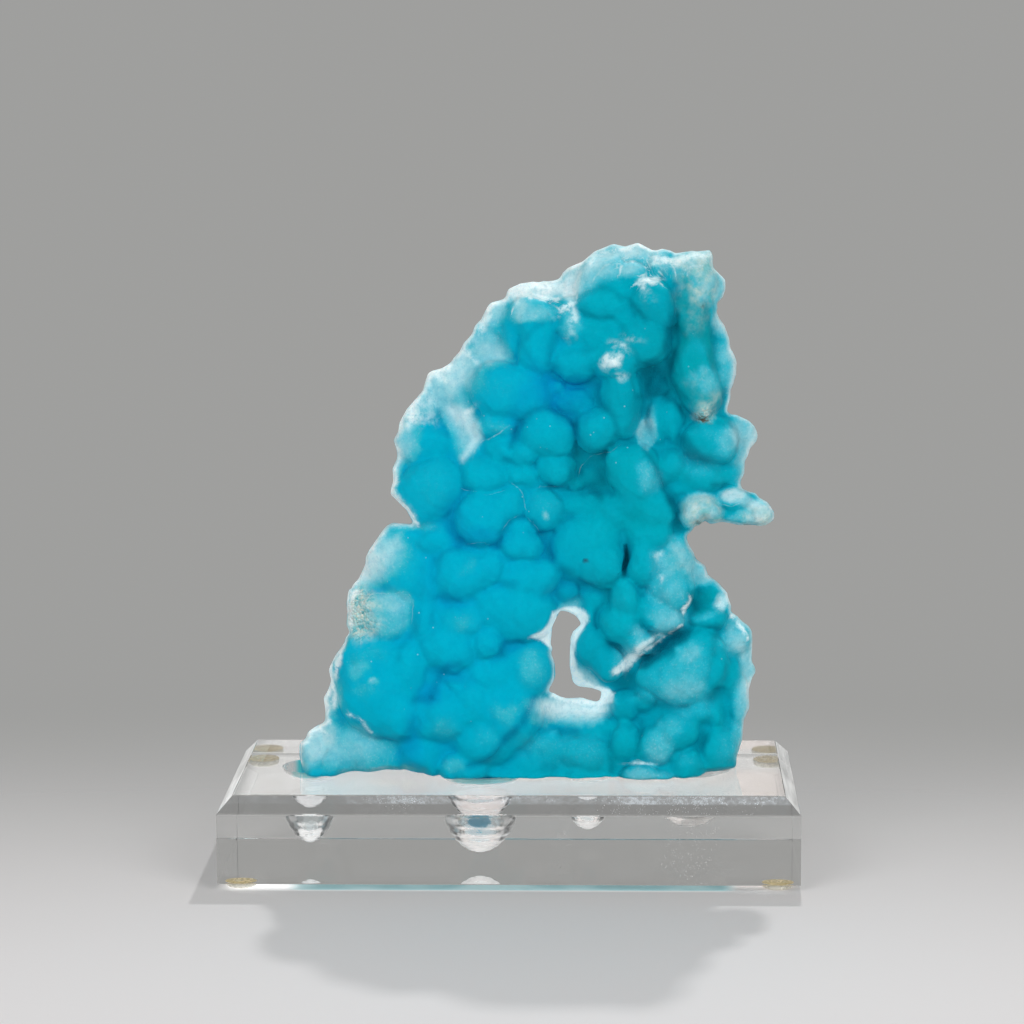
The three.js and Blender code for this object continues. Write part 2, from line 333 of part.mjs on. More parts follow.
stone = stone.intersect(box(-120, 120, -60, 60, SEAT, 260));
// roots, which reach down into the pockets
for (const [x, y, a, b, low] of ROOTS) {
  stone = stone.add(bowl(x, y, SEAT, a, b, SEAT - low, 16, 14).intersect(box(x - 30, x + 30, y - 30, y + 30, 0, SEAT + ROOT_LIP)));
}
stone = stone.simplify(0.05);
stone = stone.decompose().sort((p, q) => q.volume() - p.volume())[0];   // crumbs of the trimming fall away

const specimen = named('hemimorphite', geometryOf(stone),
  new THREE.MeshStandardMaterial({ color: 0x0fa7c4, roughness: 0.55, metalness: 0 }));

// ---------------------------------------------------------------- block
const bevelled = (w, t) => new THREE.Shape([
  new THREE.Vector2(-w / 2, 0), new THREE.Vector2(w / 2, 0), new THREE.Vector2(w / 2, t - BEVEL_V),
  new THREE.Vector2(w / 2 - BEVEL_H, t), new THREE.Vector2(-w / 2 + BEVEL_H, t), new THREE.Vector2(-w / 2, t - BEVEL_V),
]);
const alongY = new THREE.ExtrudeGeometry(bevelled(BASE_W, BASE_T), { depth: BASE_D, bevelEnabled: false });
alongY.rotateX(Math.PI / 2);
alongY.translate(0, BASE_D / 2, FOOT_T);
const alongX = new THREE.ExtrudeGeometry(bevelled(BASE_D, BASE_T), { depth: BASE_W, bevelEnabled: false });
alongX.rotateX(Math.PI / 2);
alongX.rotateZ(Math.PI / 2);
alongX.translate(-BASE_W / 2, 0, FOOT_T);
let block = solid(alongY).intersect(solid(alongX));
for (const [x, y, a, b, t] of POCKETS) block = block.subtract(bowl(x, y, TOP, a, b, t, 24, 16));

const base = named('acrylic_base', geometryOf(block),
  new THREE.MeshStandardMaterial({ color: 0xe8ecec, roughness: 0.05, metalness: 0, transparent: true, opacity: 0.35 }));

// ---------------------------------------------------------------- feet
const H = FOOT_T - GAP;
const footProfile = [
  [0, 0], [FOOT_R - 0.7, 0], [FOOT_R - 0.15, 0.3], [FOOT_R, 0.7], [FOOT_R, H], [0, H],
].map(([r, z]) => new THREE.Vector2(r, z));
const footMaterial = new THREE.MeshStandardMaterial({ color: 0xd9cf9a, roughness: 0.35, metalness: 0 });
function foot(name, sx, sy) {
  const g = new THREE.LatheGeometry(footProfile, 20);
  g.rotateX(Math.PI / 2);
  const mesh = named(name, geometryOf(solid(g)), footMaterial.clone());
  mesh.position.set(sx * (BASE_W / 2 - FOOT_INSET), sy * (BASE_D / 2 - FOOT_INSET), 0);
  return mesh;
}

const stand = new THREE.Group();
stand.add(
  base,
  foot('foot_front_left', -1, -1),
  foot('foot_front_right', 1, -1),
  foot('foot_back_left', -1, 1),
  foot('foot_back_right', 1, 1),
);

const object = new THREE.Group();
object.add(stand, specimen);

export default object;
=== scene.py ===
import bpy
import math
import numpy as np
from mathutils import Matrix, Vector


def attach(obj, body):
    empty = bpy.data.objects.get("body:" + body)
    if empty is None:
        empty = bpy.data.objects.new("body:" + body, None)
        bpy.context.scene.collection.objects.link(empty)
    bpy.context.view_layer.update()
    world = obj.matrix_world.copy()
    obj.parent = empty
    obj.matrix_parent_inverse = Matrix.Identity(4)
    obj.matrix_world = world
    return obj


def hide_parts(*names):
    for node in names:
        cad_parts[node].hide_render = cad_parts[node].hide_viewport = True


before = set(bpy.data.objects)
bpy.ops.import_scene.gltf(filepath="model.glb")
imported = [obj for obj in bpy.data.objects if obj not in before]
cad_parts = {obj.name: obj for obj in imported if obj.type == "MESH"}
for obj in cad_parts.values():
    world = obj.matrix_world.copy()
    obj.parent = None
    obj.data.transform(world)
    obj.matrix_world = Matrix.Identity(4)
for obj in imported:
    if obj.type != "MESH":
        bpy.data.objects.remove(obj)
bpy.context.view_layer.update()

# A botryoidal hemimorphite specimen on a clear bevelled block with four bumper feet.
# Tables are in millimetres in the row frame (+Z up, front faces -Y); objects are in metres.

# ------------------------------------------------------------------ sizes, the same as the CAD's
BASE_W, BASE_D, BASE_T = 165.1, 76.2, 25.05
BEVEL_H, BEVEL_V = 4.4, 4.68
FOOT_R, FOOT_T, FOOT_INSET = 4.6, 1.8, 6.3
TOP = FOOT_T + BASE_T
SEAT = TOP + 0.3
APEX = np.array([32.755, -957.33, 263.70])      # the outline's walls run towards this point
POCKETS = [(-58.4, 0.5, 9.0, 8.6, 19.2), (-8.9, -4.0, 12.4, 10.6, 21.2), (22.2, -4.0, 7.6, 7.4, 14.4), (51.8, 1.5, 12.6, 7.0, 14.6)]
# The specimen's roots, one in each pocket: centre x, y, half width x, half width y, lowest z.
ROOTS = [(-57.2, 0.6, 3.9, 4.6, 13.4), (-9.2, -4.0, 8.4, 7.2, 9.4), (22.2, -4.0, 4.6, 4.6, 17.6), (50.5, 1.5, 8.0, 4.4, 17.0)]

# ------------------------------------------------------------------ tables
# The specimen's outline as (x, z) on the plane y = 0, and its window's.
OUTLINE = [
    (-62.3, 29.6), (-62.2, 33.6), (-60.3, 35.4), (-59.8, 37.2), (-57.1, 39.1), (-55.3, 39.8), (-54.6, 40.8), (-54.5, 43.8),
    (-55.0, 47.4), (-53.6, 49.8), (-53.0, 51.5), (-52.7, 52.7), (-53.3, 55.4), (-53.1, 56.6), (-51.3, 60.2), (-48.7, 63.8),
    (-48.3, 65.3), (-47.0, 67.0), (-48.0, 69.1), (-47.6, 73.0), (-47.9, 75.3), (-47.2, 79.5), (-46.1, 80.1), (-46.0, 81.0),
    (-44.3, 82.7), (-42.2, 87.2), (-42.1, 89.2), (-40.9, 91.6), (-36.7, 97.6), (-35.5, 98.7), (-34.1, 99.3), (-28.6, 98.9),
    (-28.2, 99.2), (-30.0, 102.9), (-34.7, 107.7), (-34.3, 110.4), (-33.8, 111.5), (-34.0, 115.3), (-32.6, 118.3), (-32.6, 120.0),
    (-33.6, 123.5), (-32.2, 126.1), (-31.8, 128.7), (-29.7, 132.5), (-25.1, 137.7), (-23.5, 142.8), (-22.3, 143.6), (-19.4, 144.3),
    (-16.8, 146.0), (-16.2, 147.1), (-14.4, 149.0), (-13.1, 151.6), (-10.9, 153.9), (-9.9, 156.5), (-8.0, 158.5), (-6.1, 162.3),
    (-5.2, 163.2), (-1.6, 164.2), (-0.8, 165.1), (-0.7, 166.2), (-0.0, 167.2), (3.1, 168.6), (7.1, 169.2), (8.3, 168.9),
    (10.0, 169.4), (10.8, 169.2), (13.1, 169.5), (14.5, 170.1), (15.3, 171.6), (16.8, 173.1), (21.1, 174.9), (24.3, 177.7),
    (29.7, 179.9), (33.1, 179.1), (36.8, 180.2), (41.1, 178.0), (42.5, 178.0), (43.6, 178.5), (46.2, 177.9), (47.3, 177.1),
    (52.4, 177.9), (53.3, 177.6), (57.1, 178.0), (57.7, 177.5), (58.2, 175.8), (58.0, 174.6), (58.3, 172.9), (61.7, 169.5),
    (61.7, 166.6), (60.8, 164.3), (59.3, 162.9), (59.5, 161.5), (59.2, 160.3), (60.1, 158.3), (61.4, 156.6), (62.9, 152.6),
    (63.1, 150.0), (64.1, 148.5), (65.0, 146.2), (64.9, 142.5), (63.8, 138.7), (63.3, 138.2), (63.3, 135.3), (62.2, 132.1),
    (63.2, 130.8), (64.9, 130.7), (68.6, 129.0), (70.2, 127.4), (71.1, 125.4), (71.1, 123.7), (70.4, 122.4), (69.0, 121.1),
    (68.5, 119.0), (67.5, 117.3), (67.4, 113.5), (66.3, 111.7), (66.3, 110.3), (66.7, 109.3), (68.8, 108.2), (70.5, 108.0),
    (71.9, 106.4), (74.1, 105.3), (76.0, 102.4), (76.1, 101.2), (75.9, 100.1), (73.7, 98.5), (71.1, 98.3), (70.5, 98.7),
    (66.5, 98.5), (61.0, 99.6), (58.7, 99.0), (57.3, 99.0), (56.1, 100.1), (54.1, 98.3), (53.5, 98.6), (53.3, 98.5),
    (52.4, 97.0), (51.2, 96.0), (50.8, 95.1), (51.2, 93.3), (52.8, 90.7), (53.5, 88.6), (56.2, 86.7), (57.0, 83.9),
    (59.7, 82.0), (62.7, 78.6), (62.8, 77.5), (63.8, 75.1), (63.7, 73.0), (65.6, 71.8), (66.7, 70.5), (68.8, 68.9),
    (69.7, 67.7), (70.0, 65.6), (69.8, 58.5), (70.9, 56.4), (70.9, 55.0), (70.1, 53.8), (69.0, 50.2), (69.2, 44.5),
    (67.6, 41.0), (67.2, 35.3), (65.6, 29.9), (65.5, 27.2), (64.8, 26.5), (61.6, 25.6), (57.0, 24.9), (53.5, 16.9),
    (-20.6, 16.8), (-26.4, 24.1), (-27.9, 24.2), (-31.7, 25.8), (-32.9, 25.3), (-33.8, 25.6), (-36.7, 25.6), (-42.3, 24.5),
    (-46.4, 25.0), (-49.4, 24.0), (-49.9, 23.5), (-55.1, 16.7), (-61.9, 16.7), (-61.8, 27.2),
]
WINDOW = [
    (10.8, 49.8), (10.9, 49.2), (12.1, 49.0), (14.1, 47.9), (16.1, 47.4), (20.5, 47.6), (24.3, 46.4), (25.2, 46.5),
    (25.8, 47.0), (26.2, 49.0), (26.0, 49.6), (23.1, 50.5), (19.6, 50.9), (18.4, 51.6), (17.8, 52.5), (16.9, 57.3),
    (17.2, 65.3), (17.9, 67.2), (20.4, 69.5), (18.8, 71.9), (16.5, 73.1), (15.1, 73.4), (14.1, 73.3), (12.0, 68.9),
    (11.4, 63.8), (12.0, 62.0), (11.5, 60.8), (12.5, 58.2), (12.8, 54.6), (12.5, 53.1),
]
# Lumps of the front: centre x, y, z, half sizes x, y, z, width of the crease, lean in degrees.
FRONT = [
    (25.9, 4.5, 153.3, 22.1, 13.0, 19.2, 4, 0), (0.3, 4.5, 111.7, 28.5, 14.0, 21.5, 4, 0),
    (-19.5, 4.5, 65.2, 23.8, 17.0, 28.5, 4, 20), (-22.7, 4.0, 42.3, 23.8, 17.0, 19.2, 4, 0),
    (29.3, 4.0, 93.5, 19.2, 13.0, 17.4, 4, 0), (51.4, 3.0, 46.2, 15.7, 12.0, 20.9, 4, 0),
    (16.9, 1.5, 26.1, 37.6, 13.0, 10.4, 4, 0), (54.6, 4.0, 148.9, 8.7, 9.0, 25.5, 3, 0),
    (18.2, 0.5, 167.8, 4.4, 5.0, 6.6, 1.14, 0), (26.0, -2.5, 170.1, 7.2, 6.5, 6.9, 0.95, 0),
    (29.7, -4.8, 171.5, 5.3, 5.0, 5.3, 0.76, 0), (29.7, -0.5, 175.6, 5.0, 5.0, 3.9, 0.95, 0),
    (36.8, 0.0, 176.1, 4.4, 5.0, 3.8, 0.95, 0), (35.4, -5.6, 170.9, 4.5, 5.0, 4.7, 0.76, 0),
    (43.3, -2.6, 173.5, 4.1, 5.0, 4.4, 0.95, 0), (41.6, -5.7, 172.4, 2.5, 3.5, 2.8, 0.76, 0),
    (46.1, -5.5, 171.2, 2.5, 3.5, 3.1, 0.76, 0), (23.1, -0.0, 174.7, 4.1, 4.5, 3.8, 0.95, 0),
    (32.2, -5.6, 167.0, 5.3, 5.0, 3.8, 0.95, 0), (22.0, -4.2, 167.1, 3.1, 4.0, 4.4, 0.95, 0),
    (27.7, -7.0, 163.7, 8.8, 5.0, 5.2, 1.14, 0), (32.2, -6.6, 159.4, 5.6, 5.0, 3.8, 1.33, 0),
    (41.0, -8.5, 164.4, 6.6, 6.5, 6.9, 0.76, 0), (43.8, -8.6, 160.7, 3.9, 5.0, 5.3, 1.52, -10),
    (38.2, -9.4, 153.1, 7.5, 7.0, 7.2, 0.76, 0), (30.5, -9.1, 148.3, 6.6, 6.5, 6.6, 1.71, 0),
    (32.2, -8.8, 135.6, 6.2, 7.0, 10.9, 0.95, -4), (26.0, -6.9, 154.9, 8.4, 5.5, 5.3, 1.33, 0),
    (23.1, -7.3, 149.8, 6.9, 5.5, 4.4, 1.52, 0), (7.1, 0.8, 166.4, 10.1, 4.0, 3.2, 1.71, 0),
    (14.5, -0.3, 163.9, 5.0, 4.5, 3.8, 1.33, -30), (6.9, -3.9, 159.2, 7.1, 6.5, 6.6, 0.85, 0),
    (14.6, -4.9, 161.0, 6.3, 4.5, 3.1, 0.95, -28), (18.3, -6.1, 156.2, 5.9, 5.5, 5.0, 0.95, 0),
    (8.3, -6.2, 151.4, 5.8, 6.0, 8.8, 0.85, 0), (1.1, -2.6, 153.9, 3.1, 5.0, 6.9, 1.33, 0),
    (19.4, -7.0, 147.8, 7.5, 6.0, 6.3, 0.95, 0), (18.5, -5.5, 135.2, 7.5, 5.5, 5.3, 0.95, 0),
    (13.4, -4.9, 140.0, 3.8, 4.5, 3.1, 0.95, 0), (25.1, -9.5, 127.7, 6.7, 6.3, 7.0, 0.66, 0),
    (34.5, -5.0, 126.5, 4.4, 4.5, 3.8, 1.14, 0), (10.5, -7.6, 126.3, 8.4, 6.8, 7.2, 0.76, 0),
    (4.8, -7.6, 121.1, 4.8, 5.0, 4.1, 0.95, 0), (13.6, -7.5, 116.7, 5.9, 5.5, 5.3, 0.85, 0),
    (3.3, -6.1, 114.5, 5.9, 5.5, 4.4, 1.14, 0), (-1.7, -6.0, 138.5, 10.6, 7.0, 9.1, 0.95, 0),
    (4.8, -5.6, 137.6, 8.5, 7.0, 8.5, 1.9, 0), (-3.5, -5.8, 128.9, 6.0, 5.0, 4.1, 1.14, 0),
    (-8.5, 0.8, 152.3, 8.2, 5.0, 12.6, 1.9, 28), (-3.5, -0.1, 158.8, 4.1, 4.5, 5.0, 1.9, 0),
    (-16.6, 0.6, 139.4, 8.2, 5.0, 7.6, 1.9, 0), (-25.8, -1.2, 133.0, 6.0, 5.0, 7.6, 1.52, 12),
    (-12.6, -1.1, 132.9, 3.5, 4.5, 9.4, 1.9, -32), (-24.7, -2.7, 122.2, 8.8, 5.5, 6.9, 1.71, 0),
    (-22.6, -6.1, 110.2, 9.6, 6.5, 9.9, 0.95, 0), (-25.9, -4.2, 107.5, 10.7, 6.0, 9.4, 1.9, 0),
    (-7.3, -6.8, 114.6, 8.1, 6.0, 5.6, 0.85, 0), (-1.3, -5.7, 121.7, 6.3, 5.5, 5.0, 1.33, 30),
    (-7.9, -8.4, 102.4, 8.6, 7.0, 8.7, 0.85, 0), (-0.4, -7.6, 106.1, 5.8, 6.0, 5.6, 0.95, 0),
    (-20.2, -5.2, 95.2, 7.2, 6.0, 6.6, 1.52, 0), (-27.5, -3.4, 95.4, 6.3, 5.0, 4.1, 1.71, 0),
    (23.6, -2.7, 113.7, 4.7, 4.5, 5.3, 0.76, 0), (19.3, -4.4, 111.9, 3.3, 3.8, 3.3, 0.57, 0),
    (27.9, -4.0, 117.9, 3.5, 4.0, 3.1, 0.95, 0), (10.1, -7.4, 104.8, 6.4, 6.0, 6.6, 0.85, 0),
    (29.3, -5.2, 103.0, 10.7, 6.0, 6.3, 1.9, 0), (19.3, -4.8, 105.3, 5.6, 5.0, 3.8, 1.52, 0),
    (22.1, -6.5, 93.9, 11.0, 6.5, 10.3, 0.95, 0), (23.6, -7.6, 96.2, 7.5, 6.0, 6.3, 1.52, 0),
    (26.2, -8.5, 89.0, 7.3, 6.5, 7.0, 0.66, 0), (3.3, -8.8, 94.6, 6.7, 6.0, 5.6, 0.76, 0),
    (3.2, -7.0, 99.5, 5.3, 5.0, 3.8, 0.95, 0), (4.6, -7.7, 84.2, 9.1, 6.5, 7.5, 0.95, 0),
    (10.4, -8.4, 85.8, 4.4, 5.0, 5.6, 1.14, 10), (-12.0, -9.1, 86.2, 10.5, 6.5, 8.4, 0.85, 0),
    (-5.1, -9.3, 88.3, 5.3, 5.5, 6.2, 1.52, 0), (-23.6, -7.5, 83.0, 3.8, 5.5, 7.5, 1.14, 6),
    (16.0, -3.6, 80.8, 5.0, 5.0, 4.7, 0.95, 0), (25.3, -4.2, 78.3, 5.0, 5.0, 4.4, 0.95, 0),
    (11.1, -4.0, 76.4, 4.7, 5.0, 3.8, 1.33, 0), (36.5, -7.4, 114.7, 7.7, 6.8, 9.2, 0.85, 0),
    (31.6, -7.8, 117.1, 4.4, 5.0, 6.3, 1.33, 0), (41.1, -6.8, 104.4, 6.9, 6.0, 6.3, 1.71, 10),
    (35.6, -6.2, 107.0, 6.3, 6.0, 5.0, 1.9, 0), (38.2, -8.4, 89.3, 5.3, 6.0, 6.6, 0.95, 0),
    (40.2, -6.6, 97.1, 7.5, 6.0, 5.6, 1.9, 0), (46.2, -8.8, 81.2, 7.0, 6.0, 5.9, 0.95, 0),
    (47.7, -6.1, 89.5, 5.9, 5.5, 6.6, 1.71, 0), (50.0, -3.9, 94.9, 3.1, 4.5, 3.8, 1.52, 0),
    (33.0, -10.2, 80.3, 4.4, 5.2, 6.2, 0.66, 0), (31.9, -8.4, 71.8, 5.8, 6.0, 6.2, 1.14, 0),
    (38.8, -7.9, 76.3, 5.6, 5.5, 4.4, 1.52, 0), (43.1, -8.9, 73.6, 7.2, 5.5, 4.7, 1.33, 18),
    (36.8, -8.3, 66.4, 5.9, 5.5, 4.1, 1.33, 26), (23.8, -6.0, 63.6, 5.3, 6.0, 6.6, 0.85, 0),
    (27.8, -7.3, 59.2, 5.3, 5.5, 5.3, 0.95, 0), (23.5, -3.9, 73.8, 2.8, 4.5, 4.4, 1.52, 0),
    (53.8, -2.4, 86.1, 3.1, 4.0, 3.5, 1.14, 0), (58.2, -1.6, 80.4, 4.1, 4.0, 2.8, 1.14, -30),
    (53.8, -3.6, 170.1, 6.0, 6.0, 6.0, 1.14, 0), (49.3, -3.6, 172.1, 5.0, 5.0, 5.3, 1.33, 0),
    (53.5, -2.9, 174.9, 6.3, 4.5, 3.5, 0.95, 0), (52.2, -0.7, 176.4, 6.9, 3.5, 2.2, 1.14, 0),
    (59.0, -0.9, 167.0, 3.3, 4.5, 4.9, 0.95, 0), (52.7, -4.5, 159.1, 5.8, 7.5, 11.3, 1.52, 0),
    (51.5, -5.2, 165.5, 5.0, 6.0, 5.6, 1.33, 0), (52.2, -4.6, 145.4, 6.9, 8.0, 12.5, 1.33, -4),
    (54.7, -5.8, 139.2, 5.6, 7.0, 8.5, 1.52, -6), (55.6, -6.8, 134.8, 3.1, 5.0, 4.7, 1.52, 0),
    (60.5, -1.0, 154.4, 3.0, 4.0, 6.0, 0.95, -14), (61.0, -2.6, 143.4, 4.2, 5.0, 6.9, 0.95, 0),
    (60.6, -1.4, 134.6, 2.8, 4.0, 5.3, 1.33, 8), (62.2, -1.2, 149.0, 2.8, 4.0, 3.8, 0.95, 0),
    (41.4, -3.1, 140.0, 4.1, 4.5, 3.9, 0.76, 0), (42.2, -2.6, 144.6, 3.8, 4.0, 3.1, 1.14, 0),
    (41.7, -3.2, 129.4, 3.3, 5.0, 8.8, 1.14, 0), (38.8, -2.9, 124.4, 3.5, 4.5, 4.4, 1.14, 0),
    (46.2, -3.0, 129.6, 4.1, 5.0, 7.5, 1.52, -8), (66.4, 0.7, 124.4, 5.0, 4.5, 6.0, 0.95, 0),
    (57.6, -5.7, 124.2, 8.5, 6.5, 7.2, 0.76, 0), (45.7, -5.1, 116.9, 5.6, 5.5, 6.0, 0.95, 0),
    (55.1, -4.4, 113.6, 8.5, 6.0, 4.4, 1.33, 0), (62.3, -2.6, 113.9, 5.0, 5.0, 5.3, 1.52, 0),
    (50.0, -4.2, 110.1, 6.3, 5.0, 3.8, 1.52, 0), (54.8, -7.6, 103.7, 6.7, 6.0, 6.3, 0.85, 0),
    (64.6, -5.4, 107.4, 5.2, 5.0, 3.9, 0.76, 0), (62.3, -4.6, 103.5, 3.1, 4.0, 3.1, 0.95, 0),
    (66.0, -5.0, 103.0, 4.4, 4.0, 2.8, 0.95, 0), (71.7, -5.1, 103.3, 4.5, 4.5, 3.9, 0.95, 0),
    (56.7, -4.7, 72.5, 6.1, 5.5, 4.1, 0.95, 0), (56.1, -2.4, 78.8, 5.0, 5.0, 4.7, 1.14, 0),
    (61.6, -2.4, 75.3, 2.8, 4.0, 4.1, 1.14, 0), (52.9, -6.3, 61.9, 8.8, 6.5, 8.5, 1.33, 0),
    (46.9, -6.9, 54.7, 11.0, 6.5, 7.8, 1.52, 8), (50.6, -7.3, 58.0, 9.4, 6.5, 9.4, 1.9, 0),
    (59.0, -6.8, 57.9, 3.9, 5.0, 5.9, 0.95, 0), (64.3, -2.4, 65.8, 5.7, 5.0, 5.3, 0.95, 0),
    (63.2, -3.0, 55.6, 3.5, 5.0, 6.0, 1.52, 0), (65.5, -2.0, 47.4, 3.5, 5.0, 9.4, 1.71, 0),
    (54.1, -6.6, 45.1, 4.7, 5.0, 3.8, 0.95, 0), (58.8, -4.8, 43.5, 3.1, 5.0, 5.3, 0.95, 0),
    (59.4, -7.0, 33.7, 5.0, 6.0, 6.6, 0.95, 0), (63.2, -4.8, 33.7, 3.1, 5.0, 6.3, 1.14, 0),
    (42.0, -9.4, 35.4, 5.8, 6.0, 6.2, 0.95, 0), (47.5, -8.8, 39.7, 6.9, 6.0, 6.2, 1.14, 0),
    (50.9, -9.8, 29.6, 5.6, 6.0, 5.0, 0.95, 0), (58.2, -7.6, 27.3, 6.9, 6.0, 3.8, 1.33, 0),
    (33.0, -7.9, 36.2, 4.8, 5.5, 6.3, 0.85, 0), (32.7, -5.4, 46.3, 4.7, 5.0, 5.0, 1.14, 0),
    (37.7, -5.4, 48.1, 3.8, 5.0, 4.4, 1.14, 0), (28.7, -7.1, 30.1, 4.4, 5.5, 5.0, 1.14, 0),
    (20.9, -8.1, 32.7, 8.6, 6.5, 6.6, 0.95, 0), (10.1, -6.7, 34.1, 8.1, 6.5, 6.9, 1.52, 0),
    (5.5, -7.8, 29.0, 10.6, 7.0, 6.3, 1.52, 0), (25.8, -3.6, 39.6, 6.3, 5.0, 3.8, 1.52, 0),
    (15.6, -1.8, 40.7, 9.4, 5.0, 3.8, 1.9, 0), (2.6, -9.6, 25.9, 13.1, 7.0, 4.1, 1.14, 0),
    (20.0, -9.4, 25.8, 11.9, 7.0, 3.7, 1.14, 0), (29.3, -11.0, 25.7, 6.2, 5.0, 2.8, 1.14, 0),
    (45.5, -9.8, 25.4, 10.6, 7.0, 3.7, 1.14, 0), (56.5, -9.2, 25.6, 8.1, 6.0, 3.1, 1.52, 0),
    (37.6, -12.6, 27.3, 6.2, 5.0, 3.7, 0.66, 0), (44.3, -13.0, 27.1, 3.4, 4.0, 2.5, 0.76, 0),
    (-33.7, -3.1, 88.9, 10.7, 6.5, 11.6, 1.52, 0), (-28.4, -4.9, 84.8, 8.2, 6.5, 9.4, 1.71, 0),
    (-35.1, -6.7, 72.3, 7.8, 6.5, 8.4, 0.85, 0), (-43.1, -4.4, 73.6, 4.7, 5.0, 8.2, 0.95, 0),
    (-39.3, -6.9, 77.3, 4.4, 4.5, 3.4, 0.95, 0), (-24.9, -6.9, 73.2, 5.3, 6.5, 7.5, 1.33, 8),
    (-29.1, -8.0, 58.1, 8.1, 7.0, 10.6, 1.33, 14), (-18.0, -9.2, 64.8, 9.1, 7.0, 8.7, 1.14, 0),
    (-14.1, -9.1, 72.5, 7.5, 6.5, 5.6, 1.14, 0), (-6.7, -9.6, 66.4, 5.0, 6.0, 5.3, 1.14, 0),
    (-2.9, -8.5, 76.4, 8.7, 6.5, 6.9, 1.33, 0), (3.7, -8.4, 74.7, 10.0, 7.0, 9.1, 1.14, 0),
    (-40.1, -7.1, 61.7, 10.3, 6.5, 6.9, 1.52, 0), (-37.2, -8.5, 52.0, 13.1, 7.5, 14.7, 1.14, 0),
    (-32.0, -10.3, 45.3, 7.2, 6.5, 7.5, 1.33, 0), (5.0, -7.4, 58.0, 8.1, 7.0, 8.9, 0.85, 0),
    (-5.9, -8.3, 55.8, 8.4, 6.5, 6.9, 1.33, 0), (-14.9, -8.1, 54.0, 6.3, 5.5, 3.8, 1.14, 0),
    (-19.8, -10.4, 44.7, 9.0, 7.0, 8.7, 1.14, 0), (-10.6, -9.6, 47.2, 7.5, 7.0, 8.1, 1.33, 0),
    (-0.8, -9.8, 45.5, 10.3, 7.0, 11.2, 1.33, 0), (-8.0, -10.6, 36.8, 9.4, 7.0, 8.1, 1.52, 0),
    (-25.2, -9.0, 31.9, 6.9, 7.0, 7.2, 1.33, 0), (-16.6, -13.5, 29.8, 4.2, 4.5, 4.2, 0.76, 0),
    (-11.8, -11.3, 28.6, 6.2, 5.5, 4.4, 1.14, 0), (-38.8, -6.2, 31.2, 7.5, 6.0, 7.5, 0.95, 0),
    (-47.1, -4.6, 33.5, 8.2, 6.0, 7.5, 1.71, 0), (-51.5, -8.4, 28.4, 5.3, 6.0, 5.9, 0.95, 0),
    (-57.8, -5.9, 30.8, 4.7, 5.5, 6.9, 1.33, 0), (-57.8, -10.2, 27.1, 4.4, 5.0, 3.1, 1.33, 0),
    (-50.7, -2.6, 40.8, 4.4, 5.0, 4.4, 1.71, 0), (-31.3, -6.4, 28.9, 4.4, 6.0, 5.6, 1.52, 0),
]
